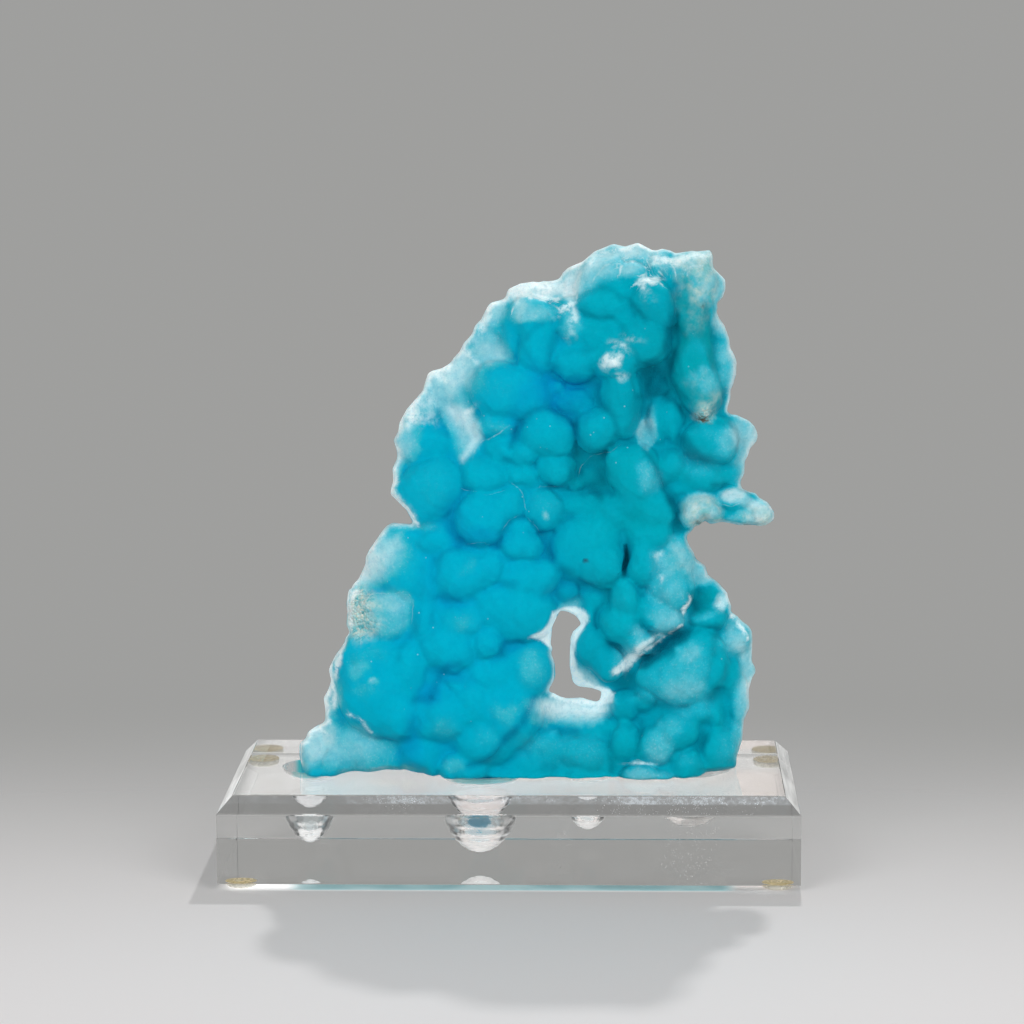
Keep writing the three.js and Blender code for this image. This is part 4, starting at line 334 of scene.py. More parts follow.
# Strokes along creases and rims: kind, half width, strength, softness, line. The dark ones are painted shade in the
# creases.
STROKES = [
    ("dark", 1.00, 0.53, 1, [(0.3, 121.7), (1.4, 126.1), (3.8, 129.6), (6.6, 131.9), (10.4, 132.7), (13.8, 132.2), (16.4, 130.1), (18.4, 128.1)]),
    ("dark", 0.86, 0.37, 1, [(18.4, 128.1), (19.3, 124.6), (21.3, 122.0), (23.9, 120.5), (27.0, 120.5), (29.0, 122.3)]),
    ("dark", 0.86, 0.34, 1, [(25.3, 139.7), (25.3, 135.6), (27.9, 132.7), (30.2, 129.8), (31.1, 126.3), (29.3, 122.8)]),
    ("dark", 0.80, 0.34, 1, [(33.9, 164.4), (35.1, 162.1), (37.4, 159.8), (39.4, 157.8)]),
    ("dark", 1.33, 0.5, 1, [(46.5, 158.6), (45.9, 154.6), (45.1, 150.6)]),
    ("dark", 0.80, 0.37, 1, [(36.2, 145.1), (39.1, 145.1), (42.0, 146.3), (44.0, 148.9)]),
    ("dark", 1.33, 0.46, 1, [(37.4, 136.2), (40.2, 136.2), (43.1, 137.0), (45.4, 135.9)]),
    ("dark", 1.00, 0.28, 1, [(47.1, 168.4), (47.4, 163.2), (46.8, 157.5)]),
    ("dark", 1.00, 0.25, 1, [(45.4, 150.0), (46.0, 144.8), (47.4, 139.0), (50.0, 135.6)]),
    ("dark", 0.86, 0.43, 1, [(-2.1, 117.9), (-0.3, 117.4)]),
    ("dark", 0.86, 0.37, 1, [(9.4, 109.5), (12.3, 110.0), (16.1, 109.7)]),
    ("dark", 1.00, 0.34, 1, [(17.2, 116.8), (17.5, 113.0)]),
    ("dark", 1.16, 0.5, 1, [(23.6, 108.6), (25.9, 107.4)]),
    ("dark", 1.00, 0.46, 1, [(-14.7, 94.8), (-12.4, 93.4), (-8.9, 92.8), (-5.4, 92.8), (-3.4, 92.5)]),
    ("dark", 0.73, 0.37, 1, [(-3.1, 92.5), (-2.8, 96.3), (-1.3, 98.9), (1.0, 100.7), (4.2, 100.7), (6.5, 99.5)]),
    ("dark", 1.06, 0.46, 1, [(6.8, 99.2), (8.8, 96.9), (10.5, 94.2), (11.1, 91.0), (12.5, 88.6), (14.5, 86.3), (17.1, 85.1)]),
    ("dark", 0.86, 0.31, 1, [(-20.5, 88.3), (-19.4, 90.4), (-17.0, 91.9), (-14.7, 92.2)]),
    ("dark", 0.86, 0.19, 1, [(-22.3, 88.3), (-23.2, 84.8), (-22.6, 81.3)]),
    ("dark", 1.00, 0.34, 1, [(15.2, 100.1), (17.5, 101.0)]),
    ("dark", 1.13, 0.31, 1, [(-2.3, 81.6), (1.5, 81.3)]),
    ("dark", 1.13, 0.37, 1, [(-18.9, 77.4), (-15.7, 77.1)]),
    ("dark", 0.66, 0.37, 1, [(32.2, 83.6), (29.3, 81.3), (25.2, 80.7), (21.8, 81.6), (19.7, 83.6)]),
    ("dark", 0.66, 0.31, 1, [(28.7, 79.5), (28.4, 76.0)]),
    ("dark", 0.86, 0.46, 1, [(38.8, 121.1), (40.8, 118.5), (42.3, 114.7), (43.7, 110.6), (45.5, 107.4), (46.9, 105.1)]),
    ("dark", 1.66, 0.59, 1, [(50.0, 123.4), (51.5, 120.2), (54.1, 117.9), (56.9, 117.0)]),
    ("dark", 1.66, 0.59, 1, [(46.9, 105.9), (48.1, 103.6)]),
    ("dark", 0.86, 0.43, 1, [(58.7, 110.3), (61.6, 110.9)]),
    ("dark", 0.60, 0.34, 1, [(63.2, 128.0), (64.9, 125.7), (65.5, 122.8), (65.0, 119.9)]),
    ("dark", 1.00, 0.61, 1, [(37.7, 58.5), (40.3, 61.2), (43.5, 63.8), (46.4, 66.5), (49.9, 68.0)]),
    ("dark", 1.49, 0.56, 1, [(43.2, 64.4), (47.3, 67.1)]),
    ("dark", 1.49, 0.53, 1, [(51.9, 77.4), (53.0, 75.1)]),
    ("dark", 0.80, 0.31, 1, [(59.7, 68.9), (58.9, 64.7), (59.2, 60.0)]),
    ("dark", 0.66, 0.28, 1, [(51.9, 66.5), (56.5, 68.3), (61.2, 69.5)]),
    ("dark", 0.80, 0.37, 1, [(36.8, 48.7), (40.3, 46.3), (44.1, 45.1), (47.9, 44.5), (50.8, 45.1)]),
    ("dark", 1.49, 0.46, 1, [(58.1, 47.8), (60.1, 49.9)]),
    ("dark", 1.16, 0.31, 1, [(56.1, 36.5), (55.2, 32.6)]),
    ("dark", 1.16, 0.46, 1, [(29.2, 25.9), (29.8, 28.9)]),
    ("dark", 0.66, 0.37, 1, [(31.6, 23.8), (32.7, 26.5), (33.9, 28.3)]),
    ("dark", 1.00, 0.59, 1, [(-12.6, 27.0), (-8.2, 28.5), (-5.0, 31.0), (-2.0, 35.2), (0.9, 37.9), (3.3, 40.0), (4.7, 43.3), (6.5, 47.4)]),
    ("dark", 1.33, 0.37, 1, [(-2.0, 35.2), (0.9, 37.9)]),
    ("dark", 1.13, 0.53, 1, [(-28.5, 46.5), (-24.4, 47.1), (-22.4, 50.7), (-21.2, 54.6), (-18.5, 56.4), (-15.0, 57.5)]),
    ("dark", 0.80, 0.25, 1, [(-20.9, 52.8), (-18.0, 52.2), (-15.1, 51.9)]),
    ("dark", 1.20, 0.43, 1, [(14.1, 37.6), (18.7, 37.3)]),
    ("dark", 1.33, 0.31, 1, [(9.9, 27.1), (11.7, 26.5)]),
    ("dark", 0.80, 0.4, 1, [(-3.0, 60.2), (-2.7, 63.2), (-0.4, 64.4), (3.1, 64.7), (5.7, 65.6)]),
    ("dark", 0.66, 0.34, 1, [(-46.8, 41.7), (-44.2, 38.7), (-41.3, 36.3), (-36.3, 35.4), (-32.8, 35.7)]),
    ("dark", 1.00, 0.25, 1, [(-29.8, 40.2), (-31.9, 36.6)]),
    ("dark", 0.86, 0.28, 1, [(-27.1, 73.0), (-27.7, 68.2), (-30.1, 64.7), (-33.1, 59.3)]),
    ("dark", 0.86, 0.22, 1, [(-23.6, 71.2), (-22.5, 69.1)]),
    ("dark", 0.80, 0.25, 1, [(-14.5, 114.7), (-13.4, 110.6), (-14.0, 106.6), (-16.1, 103.0)]),
    ("dark", 0.80, 0.22, 1, [(-17.0, 99.5), (-15.8, 96.6), (-14.1, 94.2)]),
    ("dark", 0.86, 0.25, 1, [(9.1, 156.7), (3.0, 151.0), (5.9, 146.6), (8.7, 142.3)]),
    ("dark", 0.93, 0.34, 1, [(13.3, 154.7), (11.6, 148.9), (11.3, 146.0), (13.3, 144.9)]),
    ("dark", 0.86, 0.28, 1, [(19.7, 163.9), (22.0, 166.1), (25.4, 167.3), (29.4, 166.7), (32.2, 164.7)]),
    ("dark", 0.73, 0.28, 1, [(21.4, 160.4), (25.4, 158.4), (29.4, 158.7)]),
    ("dark", 1.00, 0.22, 1, [(24.8, 150.9), (23.1, 149.5), (21.3, 148.9)]),
    ("dark", 1.00, 0.28, 1, [(56.8, 163.2), (56.2, 160.3), (57.6, 156.9), (59.1, 153.4)]),
    ("dark", 1.00, 0.28, 1, [(59.1, 150.8), (58.2, 147.7), (58.5, 144.8)]),
    ("dark", 1.13, 0.31, 1, [(47.7, 134.4), (50.6, 131.5), (53.4, 129.8)]),
    ("dark", 1.00, 0.37, 1, [(58.0, 132.1), (60.9, 135.0), (62.0, 137.9)]),
    ("dark", 0.66, 0.25, 1, [(61.5, 128.0), (59.5, 129.2)]),
    ("dark", 0.73, 0.34, 1, [(-20.4, 131.6), (-19.3, 128.1), (-18.5, 125.2)]),
    ("dark", 0.80, 0.19, 1, [(28.7, 46.9), (29.2, 43.3), (27.5, 40.3)]),
    ("dark", 0.80, 0.31, 1, [(37.4, 40.9), (37.4, 36.4), (36.5, 31.9)]),
    ("dark", 0.80, 0.25, 1, [(28.4, 33.4), (28.9, 29.8)]),
    ("dark", 0.80, 0.22, 1, [(62.1, 57.3), (61.8, 52.9)]),
    ("dark", 0.66, 0.22, 1, [(18.5, 63.2), (20.0, 58.8), (22.9, 54.6), (26.9, 52.2)]),
    ("pale", 0.87, 0.55, 0.7, [(11.5, 64.7), (13.3, 58.8), (12.4, 52.8), (10.6, 49.8)]),
    ("frost_and_rim_light", 0.46, 0.62, 0.7, [(-48.2, 42.9), (-45.3, 41.1), (-43.6, 38.7), (-41.2, 36.9)]),
    ("frost_and_rim_light", 0.52, 0.9, 0.7, [(-51.1, 61.7), (-53.0, 57.5), (-53.0, 53.9), (-52.2, 50.4)]),
    ("frost_and_rim_light", 0.64, 0.85, 0.6, [(-33.1, 106.9), (-30.2, 103.9), (-28.2, 101.0), (-26.8, 98.6)]),
    ("frost_and_rim_light", 0.69, 0.8, 0.7, [(-59.7, 36.3), (-56.8, 38.4), (-53.2, 40.2)]),
    ("frost_and_rim_light", 0.52, 0.8, 0.7, [(65.2, 70.1), (67.8, 68.0), (69.3, 64.7)]),
    ("frost_and_rim_light", 0.64, 0.95, 0.6, [(51.9, 77.4), (51.0, 74.8), (49.6, 72.7)]),
    ("frost_and_rim_light", 0.38, 0.75, 0.8, [(37.7, 60.0), (40.9, 63.2), (44.4, 66.2), (49.6, 68.9)]),
    ("pale", 0.93, 0.45, 0.9, [(59.9, 159.2), (62.2, 154.6), (63.4, 149.4), (64.6, 144.2), (64.0, 139.6)]),
    ("pale", 1.16, 0.25, 0.8, [(66.7, 62.4), (68.5, 55.3), (67.1, 46.9), (65.9, 38.6), (65.4, 30.2)]),
]
# Areas with an outline of their own: kind, strength, softness in mm, outline. The dark and teal ones are painted shadow
# under the overhanging ledge.
AREAS = [
    ("white", 0.92, 0.9, [(11.9, 72.4), (13.3, 73.3), (15.4, 74.2), (18.8, 74.5), (21.2, 73.6), (22.3, 72.1), (22.3, 70.3), (21.1, 68.3), (19.1, 64.7), (18.5, 60.3), (19.1, 56.4), (21.1, 53.1), (24.3, 51.0), (28.4, 50.2), (29.8, 48.7), (29.2, 46.0), (25.7, 45.4), (19.9, 45.7), (14.1, 46.6), (10.9, 48.0), (12.1, 49.8), (14.1, 52.8), (14.4, 60.3), (13.3, 64.7), (13.0, 69.2)]),
    ("white", 0.95, 0.8, [(5.4, 65.6), (8.4, 67.1), (10.7, 69.4), (12.2, 73.0), (13.3, 70.6), (13.6, 67.1), (13.3, 64.4), (12.4, 61.1), (10.7, 62.9), (8.6, 64.7)]),
    ("pale", 0.66, 4.2, [(8.6, 47.7), (14.1, 46.6), (19.9, 45.7), (25.7, 45.4), (29.5, 46.9), (29.2, 43.3), (26.6, 41.5), (22.8, 40.3), (19.9, 39.1), (15.8, 39.7), (11.7, 40.9), (8.2, 42.1), (6.5, 44.5)]),
    ("pale", 0.3, 3, [(3.6, 46.8), (8.6, 47.7), (10.6, 42.4), (10.6, 38.5), (5.3, 39.7)]),
    ("pale", 0.3, 2.4, [(-20.1, 134.5), (-15.5, 135.1), (-11.5, 132.8), (-8.3, 128.1), (-7.5, 124.1), (-11.6, 119.1), (-14.2, 116.5), (-15.3, 118.2), (-16.7, 123.5), (-18.4, 128.1)]),
    ("white", 0.52, 2.4, [(-17.8, 133.1), (-14.9, 133.1), (-11.5, 130.7), (-9.2, 127.6), (-8.1, 124.1), (-10.4, 120.6), (-13.6, 117.1), (-14.2, 118.2), (-11.9, 121.4), (-11.0, 124.1), (-12.7, 126.4), (-15.0, 129.0), (-17.2, 131.0)]),
    ("white", 0.55, 3.2, [(10.0, 47.1), (14.1, 46.3), (19.9, 45.4), (26.6, 45.4), (27.5, 44.2), (23.4, 43.3), (18.2, 43.0), (12.9, 43.6), (9.4, 44.8)]),
    ("pale", 0.42, 4, [(-30.5, 132.8), (-24.6, 141.5), (-20.0, 144.4), (-11.3, 149.0), (-6.7, 155.3), (-2.7, 153.0), (-0.4, 149.0), (-5.1, 144.9), (-10.2, 143.8), (-13.7, 139.7), (-16.6, 135.7), (-21.2, 134.5), (-25.9, 131.6)]),
    ("frost_and_rim_light", 0.34, 4, [(-31.1, 126.4), (-29.3, 132.8), (-24.6, 140.3), (-18.3, 145.0), (-13.6, 147.8), (-8.4, 156.5), (-6.7, 155.3), (-11.4, 146.7), (-18.3, 141.5), (-22.4, 137.4), (-25.9, 131.6), (-28.8, 125.8)]),
    ("pale", 0.4, 3, [(-43.3, 82.4), (-40.3, 89.5), (-35.6, 94.8), (-30.9, 97.2), (-32.1, 92.8), (-35.6, 88.3), (-38.6, 82.4), (-42.2, 78.9)]),
    ("pale", 0.4, 3, [(-60.9, 34.8), (-56.8, 38.4), (-52.6, 40.2), (-50.3, 37.8), (-53.3, 33.3), (-56.9, 28.8), (-60.5, 25.1)]),
    ("pale", 0.3, 3, [(65.8, 68.3), (69.9, 66.5), (69.9, 58.8), (69.4, 49.9), (67.7, 43.3), (65.9, 46.9), (66.4, 55.3), (65.8, 62.4)]),
    ("pale", 0.3, 3, [(62.9, 70.1), (66.9, 70.7), (69.9, 66.5), (68.7, 61.8), (64.7, 61.8), (61.2, 64.7)]),
    ("pale", 0.16, 5, [(46.7, 49.9), (54.8, 51.1), (59.5, 46.9), (58.4, 42.1), (52.0, 41.5), (46.7, 43.9)]),
    ("pale", 0.12, 5, [(48.9, 120.5), (55.8, 121.1), (60.9, 119.3), (61.0, 115.2), (52.9, 112.3), (47.7, 115.3)]),
    ("pale", 0.1, 5, [(2.4, 35.5), (25.7, 37.3), (27.5, 28.3), (14.0, 26.5), (2.3, 28.9)]),
    ("frost_and_rim_light", 0.62, 1.6, [(29.3, 55.2), (32.2, 58.5), (35.4, 61.5), (38.8, 64.4), (42.0, 66.8), (43.8, 67.1), (40.9, 63.8), (38.0, 60.3), (34.5, 56.7), (30.4, 54.3)]),
    ("dark", 0.55, 1.6, [(36.8, 56.4), (39.7, 60.3), (43.2, 63.2), (47.8, 65.9), (52.5, 67.7), (50.7, 64.4), (46.1, 61.8), (42.0, 58.8), (38.9, 55.8)]),
    ("dark", 0.72, 1.4, [(37.4, 57.6), (39.1, 60.3), (41.8, 62.9), (44.7, 65.0), (47.8, 66.5), (50.2, 67.1), (49.0, 65.3), (45.5, 63.2), (42.0, 60.6), (39.4, 58.2)]),
    ("teal", 0.8, 2, [(37.4, 56.4), (38.9, 59.7), (41.8, 62.7), (44.7, 65.0), (47.8, 66.5), (51.9, 68.3), (51.3, 64.7), (46.7, 62.4), (43.2, 58.8), (39.7, 56.4)]),
    ("pale", 0.3, 3, [(38.3, 64.7), (40.9, 68.3), (43.2, 71.2), (47.2, 73.0), (51.3, 72.4), (51.9, 70.1), (49.6, 68.0), (45.5, 66.5), (41.5, 64.1), (38.6, 61.8), (35.1, 60.0), (31.6, 60.0), (33.9, 62.9)]),
    ("pale", 0.16, 4, [(35.1, 46.9), (37.4, 49.9), (37.4, 54.0), (41.8, 57.6), (47.6, 60.0), (54.8, 63.6), (58.3, 61.8), (58.3, 56.4), (56.0, 49.9), (51.9, 46.9), (45.6, 45.7), (39.7, 46.3)]),
    ("pale", 0.14, 3.6, [(-62.1, 33.3), (-58.6, 36.9), (-53.2, 39.6), (-48.8, 42.0), (-43.9, 38.4), (-38.6, 35.4), (-34.0, 34.2), (-33.4, 28.8), (-37.3, 25.8), (-47.6, 25.5), (-56.4, 23.9), (-61.4, 23.9)]),
    ("pale", 0.2, 2.4, [(-46.2, 78.9), (-41.0, 78.0), (-34.6, 78.3), (-29.9, 78.9), (-28.5, 75.4), (-29.5, 69.4), (-34.7, 65.9), (-40.6, 64.7), (-45.2, 65.9)]),
    ("pale", 0.45, 1, [(37.7, 129.2), (40.3, 129.8), (42.0, 128.1), (42.6, 124.0), (39.7, 119.9), (36.8, 122.3), (36.2, 125.7)]),
    ("beige", 0.6, 1.6, [(49.2, 104.8), (51.8, 107.1), (55.8, 107.7), (59.8, 106.5), (61.6, 103.0), (61.0, 99.5), (56.1, 100.1), (51.8, 98.3), (49.5, 101.2)]),
    ("pale", 0.55, 1.6, [(49.2, 104.8), (51.8, 107.1), (55.8, 107.7), (59.8, 106.5), (61.6, 103.0), (61.0, 99.5), (56.1, 100.1), (51.8, 98.3), (49.5, 101.2)]),
    ("pale", 0.6, 1.4, [(60.4, 108.3), (63.9, 109.7), (67.6, 107.7), (71.1, 105.9), (74.2, 103.6), (75.4, 100.6), (72.0, 98.9), (66.8, 99.5), (69.6, 102.4), (66.2, 104.2), (62.2, 105.3)]),
    ("beige", 0.45, 1.4, [(66.2, 101.2), (68.5, 104.2), (73.1, 104.2), (75.4, 101.2), (73.1, 98.3), (67.4, 98.3)]),
    ("beige", 0.55, 3, [(45.3, 174.7), (49.9, 177.5), (58.4, 178.0), (59.6, 172.9), (60.7, 168.3), (59.0, 163.8), (56.8, 162.0), (54.5, 164.9), (51.1, 166.6), (47.6, 169.5)]),
    ("pale", 0.26, 4, [(23.1, 174.7), (27.7, 178.1), (37.4, 179.2), (45.3, 176.9), (54.4, 177.5), (57.9, 176.3), (57.9, 172.9), (51.6, 171.8), (44.2, 172.4), (36.2, 174.7), (29.4, 173.6), (24.8, 170.7)]),
    ("green", 0.6, 4, [(48.2, 163.8), (51.6, 166.1), (56.2, 163.8), (57.9, 155.2), (58.5, 146.5), (60.9, 137.3), (58.0, 131.5), (52.9, 132.7), (49.4, 137.9), (47.1, 146.6), (47.1, 156.6)]),
    ("frost_and_rim_light", 0.8, 2, [(22.0, 174.7), (24.8, 177.0), (28.3, 178.4), (31.1, 179.0), (34.0, 179.3), (37.4, 180.1), (40.2, 178.1), (37.4, 178.1), (34.0, 177.5), (29.4, 177.0), (26.0, 175.9), (23.1, 173.0)]),
    ("white", 0.35, 3, [(22.6, 174.7), (26.0, 177.3), (30.5, 178.1), (35.1, 179.0), (38.5, 178.7), (37.4, 177.0), (32.2, 176.4), (27.7, 175.3), (24.3, 173.0), (22.0, 171.9)]),
    ("frost_and_rim_light", 0.75, 1.8, [(40.8, 176.4), (43.6, 176.9), (46.5, 175.8), (49.9, 176.6), (54.4, 177.5), (57.9, 177.5), (57.9, 175.8), (53.9, 175.5), (49.9, 174.4), (47.6, 172.9), (45.3, 174.1), (41.9, 174.1)]),
    ("pale", 0.16, 2.6, [(20.2, 163.9), (19.7, 167.9), (21.4, 171.9), (24.3, 174.2), (27.7, 174.7), (30.8, 173.0), (31.7, 170.7), (27.7, 168.4), (24.2, 166.1), (22.0, 163.3)]),
    ("pale", 0.3, 1.2, [(31.4, 170.7), (31.7, 173.6), (34.5, 175.0), (37.9, 174.1), (39.7, 171.2), (37.4, 170.1), (33.9, 170.1)]),
    ("pale", 0.4, 1.6, [(15.4, 163.9), (15.1, 167.9), (16.6, 170.7), (19.7, 173.0), (23.1, 174.7), (21.4, 171.9), (20.0, 168.2), (19.7, 163.9), (18.0, 162.7)]),
]
# Fine lines: tone (1 light, -1 dark), half width, strength, line. The dark ones are painted shade along the creases.
FINE = [
    (1, 0.31, 0.77, [(19.4, 164.4), (19.7, 168.2), (21.1, 171.9), (23.4, 174.7), (26.0, 176.1), (28.8, 175.6), (30.8, 174.1)]),
    (1, 0.24, 0.46, [(24.0, 169.6), (25.7, 171.9), (27.7, 173.6), (30.0, 174.4)]),
    (1, 0.34, 0.95, [(31.4, 171.8), (32.0, 173.8), (33.7, 175.0), (35.7, 175.0), (37.7, 174.1), (39.1, 173.0), (39.4, 171.0), (37.7, 170.4)]),
    (1, 0.27, 0.66, [(32.2, 175.3), (34.0, 176.7), (36.2, 177.5), (39.1, 177.0), (40.2, 175.8)]),
    (1, 0.27, 0.62, [(24.3, 177.0), (26.5, 177.9), (29.4, 177.8), (31.7, 177.3), (33.4, 177.5)]),
    (1, 0.24, 0.84, [(39.6, 174.7), (40.8, 173.0), (41.9, 171.0)]),
    (1, 0.24, 0.77, [(41.6, 175.0), (42.5, 173.0), (43.9, 171.2)]),
    (1, 0.26, 0.77, [(43.1, 176.1), (45.3, 174.9), (46.8, 172.9), (47.1, 170.7)]),
    (1, 0.26, 0.66, [(47.6, 175.8), (49.6, 174.9), (51.0, 173.2), (50.5, 170.6)]),
    (1, 0.24, 0.57, [(50.5, 174.6), (53.0, 175.8), (55.9, 175.8), (58.1, 174.0), (59.0, 171.5)]),
    (1, 0.27, 0.88, [(50.5, 171.8), (52.2, 173.5), (55.0, 173.8), (57.6, 172.3)]),
    (1, 0.22, 0.51, [(51.0, 176.6), (53.9, 176.9), (56.7, 176.6)]),
    (1, 0.37, 0.95, [(35.7, 168.1), (37.4, 169.5), (40.2, 170.1), (42.5, 169.5), (43.9, 168.1)]),
    (1, 0.27, 0.77, [(37.7, 167.0), (39.7, 168.7), (42.2, 168.4)]),
    (1, 0.31, 0.92, [(0.8, 160.5), (1.4, 162.5), (3.1, 164.5), (5.4, 165.0), (8.2, 164.8), (10.5, 163.6), (12.5, 162.2), (14.5, 160.4)]),
    (1, 0.27, 0.88, [(3.1, 165.1), (6.0, 165.9), (9.1, 165.9), (11.7, 165.0), (14.0, 163.3), (16.2, 161.6)]),
    (1, 0.24, 0.62, [(0.2, 164.5), (2.5, 166.2), (6.0, 166.8), (10.3, 166.8)]),
    (1, 0.22, 0.42, [(-10.7, 118.2), (-9.6, 120.9), (-7.8, 123.2), (-5.2, 124.3), (-2.9, 125.8), (-1.1, 127.2)]),
    (1, 0.11, 0.23, [(-13.4, 108.9), (-11.1, 108.6)]),
    (1, 0.11, 0.19, [(-6.2, 108.0), (-3.0, 108.3)]),
    (1, 0.13, 0.32, [(0.5, 110.6), (2.2, 109.5), (3.6, 108.0), (4.2, 106.0), (4.5, 103.9)]),
    (1, 0.1, 0.23, [(-1.6, 98.3), (-0.5, 100.1), (1.3, 101.0)]),
    (1, 0.1, 0.19, [(5.6, 100.1), (7.1, 98.6), (8.5, 96.6)]),
    (1, 0.1, 0.28, [(-11.8, 93.1), (-9.5, 93.3), (-7.2, 93.1)]),
    (1, 0.11, 0.28, [(9.4, 109.5), (12.3, 109.8), (15.5, 110.0)]),
    (1, 0.11, 0.3, [(20.4, 113.8), (21.0, 115.9), (22.4, 117.6), (24.1, 119.1), (26.5, 119.7), (28.8, 119.9), (30.8, 121.4)]),
    (1, 0.11, 0.32, [(50.7, 100.4), (52.1, 102.7), (54.4, 103.9), (57.3, 103.3), (60.2, 101.8)]),
    (1, 0.11, 0.32, [(51.8, 99.5), (53.5, 101.8), (55.8, 102.4), (58.4, 101.8), (61.3, 100.7)]),
    (1, 0.11, 0.28, [(53.0, 99.2), (54.7, 101.0), (57.0, 101.2), (59.6, 100.7)]),
    (1, 0.13, 0.32, [(61.0, 105.0), (63.9, 104.2), (66.8, 105.0), (69.6, 103.9), (72.0, 102.4)]),
    (1, 0.13, 0.28, [(68.5, 105.9), (71.1, 105.3), (73.7, 103.6), (75.1, 101.2)]),
    (1, 0.18, 0.42, [(30.7, 55.2), (32.5, 57.3), (34.2, 59.1)]),
    (1, 0.18, 0.44, [(32.2, 54.6), (33.9, 56.7), (35.7, 58.5)]),
    (1, 0.16, 0.42, [(33.9, 55.2), (35.4, 57.0), (36.8, 58.8)]),
    (1, 0.15, 0.38, [(31.6, 58.2), (33.6, 60.3), (35.7, 61.8)]),
    (1, 0.15, 0.38, [(34.8, 60.0), (36.5, 61.8), (38.3, 63.2)]),
    (1, 0.15, 0.38, [(33.9, 28.3), (36.8, 28.9), (39.7, 28.0), (41.8, 26.5)]),
    (1, 0.15, 0.38, [(-41.9, 77.1), (-38.7, 78.6), (-34.6, 78.3), (-30.5, 78.9), (-29.4, 77.4)]),
    (1, 0.13, 0.23, [(-29.4, 77.4), (-28.5, 74.8), (-28.9, 70.6)]),
    (1, 0.13, 0.28, [(61.7, 75.4), (63.2, 74.2), (63.8, 71.8)]),
    (-1, 0.18, 0.47, [(32.5, 92.8), (33.1, 89.5), (32.8, 86.0), (31.6, 84.2)]),
    (-1, 0.14, 0.32, [(62.9, 128.0), (64.9, 125.7), (65.5, 122.8), (65.2, 120.2)]),
    (-1, 0.14, 0.37, [(59.3, 110.6), (61.8, 110.9), (64.1, 110.3)]),
    (-1, 0.13, 0.26, [(41.7, 117.0), (42.9, 113.5), (44.0, 109.7), (45.7, 106.8)]),
    (-1, 0.13, 0.32, [(-12.6, 27.0), (-8.2, 28.5), (-5.0, 31.0), (-2.0, 34.9)]),
    (-1, 0.13, 0.32, [(21.0, 131.3), (19.0, 129.5), (18.1, 127.8)]),
]

# ------------------------------------------------------------------ small helpers
def lerp(a, b, t):
    return a + (b - a) * t


def smooth(a, b, x):
    t = np.clip((x - a) / (b - a), 0, 1)
    return t * t * (3 - 2 * t)


def smin(a, b, k):
    h = np.maximum(k - np.abs(a - b), 0) / k
    return np.minimum(a, b) - h * h * k * 0.25


def smax(a, b, k):
    return -smin(-a, -b, k)


def waves(p, size, seed, octaves=3, dirs=7):
    """Smooth seeded noise, about -1..1, made of crossed sine waves. size is the wavelength in mm."""
    rng = np.random.default_rng(seed)
    out = np.zeros(p.shape[:-1], np.float32)
    amp, total = 1.0, 0.0
    for _ in range(octaves):
        part = np.zeros_like(out)
        for _ in range(dirs):
            d = rng.normal(size=3)
            d /= np.linalg.norm(d)
            part += np.sin(p @ (d * (2 * math.pi / size * rng.uniform(0.7, 1.4))).astype(np.float32) + np.float32(rng.uniform(0, 6.28)))
        out += part * (amp / math.sqrt(dirs / 2))
        total += amp
        amp *= 0.5
        size *= 0.5
    return out / total


def ellipsoid(X, Y, Z, cx, cy, cz, rx, ry, rz, lean):
    x, y, z = X - cx, Y - cy, Z - cz
    if lean:
        c, s = math.cos(math.radians(lean)), math.sin(math.radians(lean))
        x, z = c * x - s * z, s * x + c * z
    a = np.sqrt((x / rx) ** 2 + (y / ry) ** 2 + (z / rz) ** 2)
    b = np.sqrt((x / rx ** 2) ** 2 + (y / ry ** 2) ** 2 + (z / rz ** 2) ** 2) + 1e-9
    return a * (a - 1) / b


def outline_distance(poly, X, Z):
    """Distance to a closed outline, positive inside."""
    a = np.array(poly, np.float32)
    b = np.roll(a, -1, 0)
    dx, dz = (b - a).T
    L = dx * dx + dz * dz
    x, z = X.ravel()[:, None], Z.ravel()[:, None]
    best = np.empty(len(x), np.float32)
    inside = np.empty(len(x), bool)
    for s in range(0, len(x), 20000):
        xs, zs = x[s:s + 20000], z[s:s + 20000]
        t = np.clip(((xs - a[:, 0]) * dx + (zs - a[:, 1]) * dz) / L, 0, 1)
        best[s:s + 20000] = np.hypot(xs - a[:, 0] - t * dx, zs - a[:, 1] - t * dz).min(1)
        cross = (a[:, 1] > zs) != (b[:, 1] > zs)
        with np.errstate(divide="ignore", invalid="ignore"):
            xi = a[:, 0] + (zs - a[:, 1]) / dz * dx
        inside[s:s + 20000] = ((cross & (xs < xi)).sum(1) % 2) == 1
    return np.where(inside, best, -best).reshape(X.shape)


# ------------------------------------------------------------------ the specimen's shape
H = 0.62                                            # grid step, mm
xs = np.arange(-64.5, 79.0, H, dtype=np.float32)
ys = np.arange(-23.0, 24.5, H, dtype=np.float32)
zs = np.arange(8.0, 182.5, H, dtype=np.float32)

G2 = 0.5                                            # step of the outline's distance map
gx = np.arange(-72.0, 88.0, G2, dtype=np.float32)
gz = np.arange(8.0, 192.0, G2, dtype=np.float32)
GX, GZ = np.meshgrid(gx, gz, indexing="ij")
RIM = np.minimum(outline_distance(OUTLINE, GX, GZ), -outline_distance(WINDOW, GX, GZ))


def lookup(table, x0, z0, ox, oz, step):
    u = np.clip((x0 - ox) / step, 0, table.shape[0] - 1.001)
    v = np.clip((z0 - oz) / step, 0, table.shape[1] - 1.001)
    i, j = u.astype(np.int32), v.astype(np.int32)
    fu, fv = (u - i).astype(np.float32), (v - j).astype(np.float32)
    return table[i, j] * (1 - fu) * (1 - fv) + table[i + 1, j] * fu * (1 - fv) + table[i, j + 1] * (1 - fu) * fv + table[i + 1, j + 1] * fu * fv


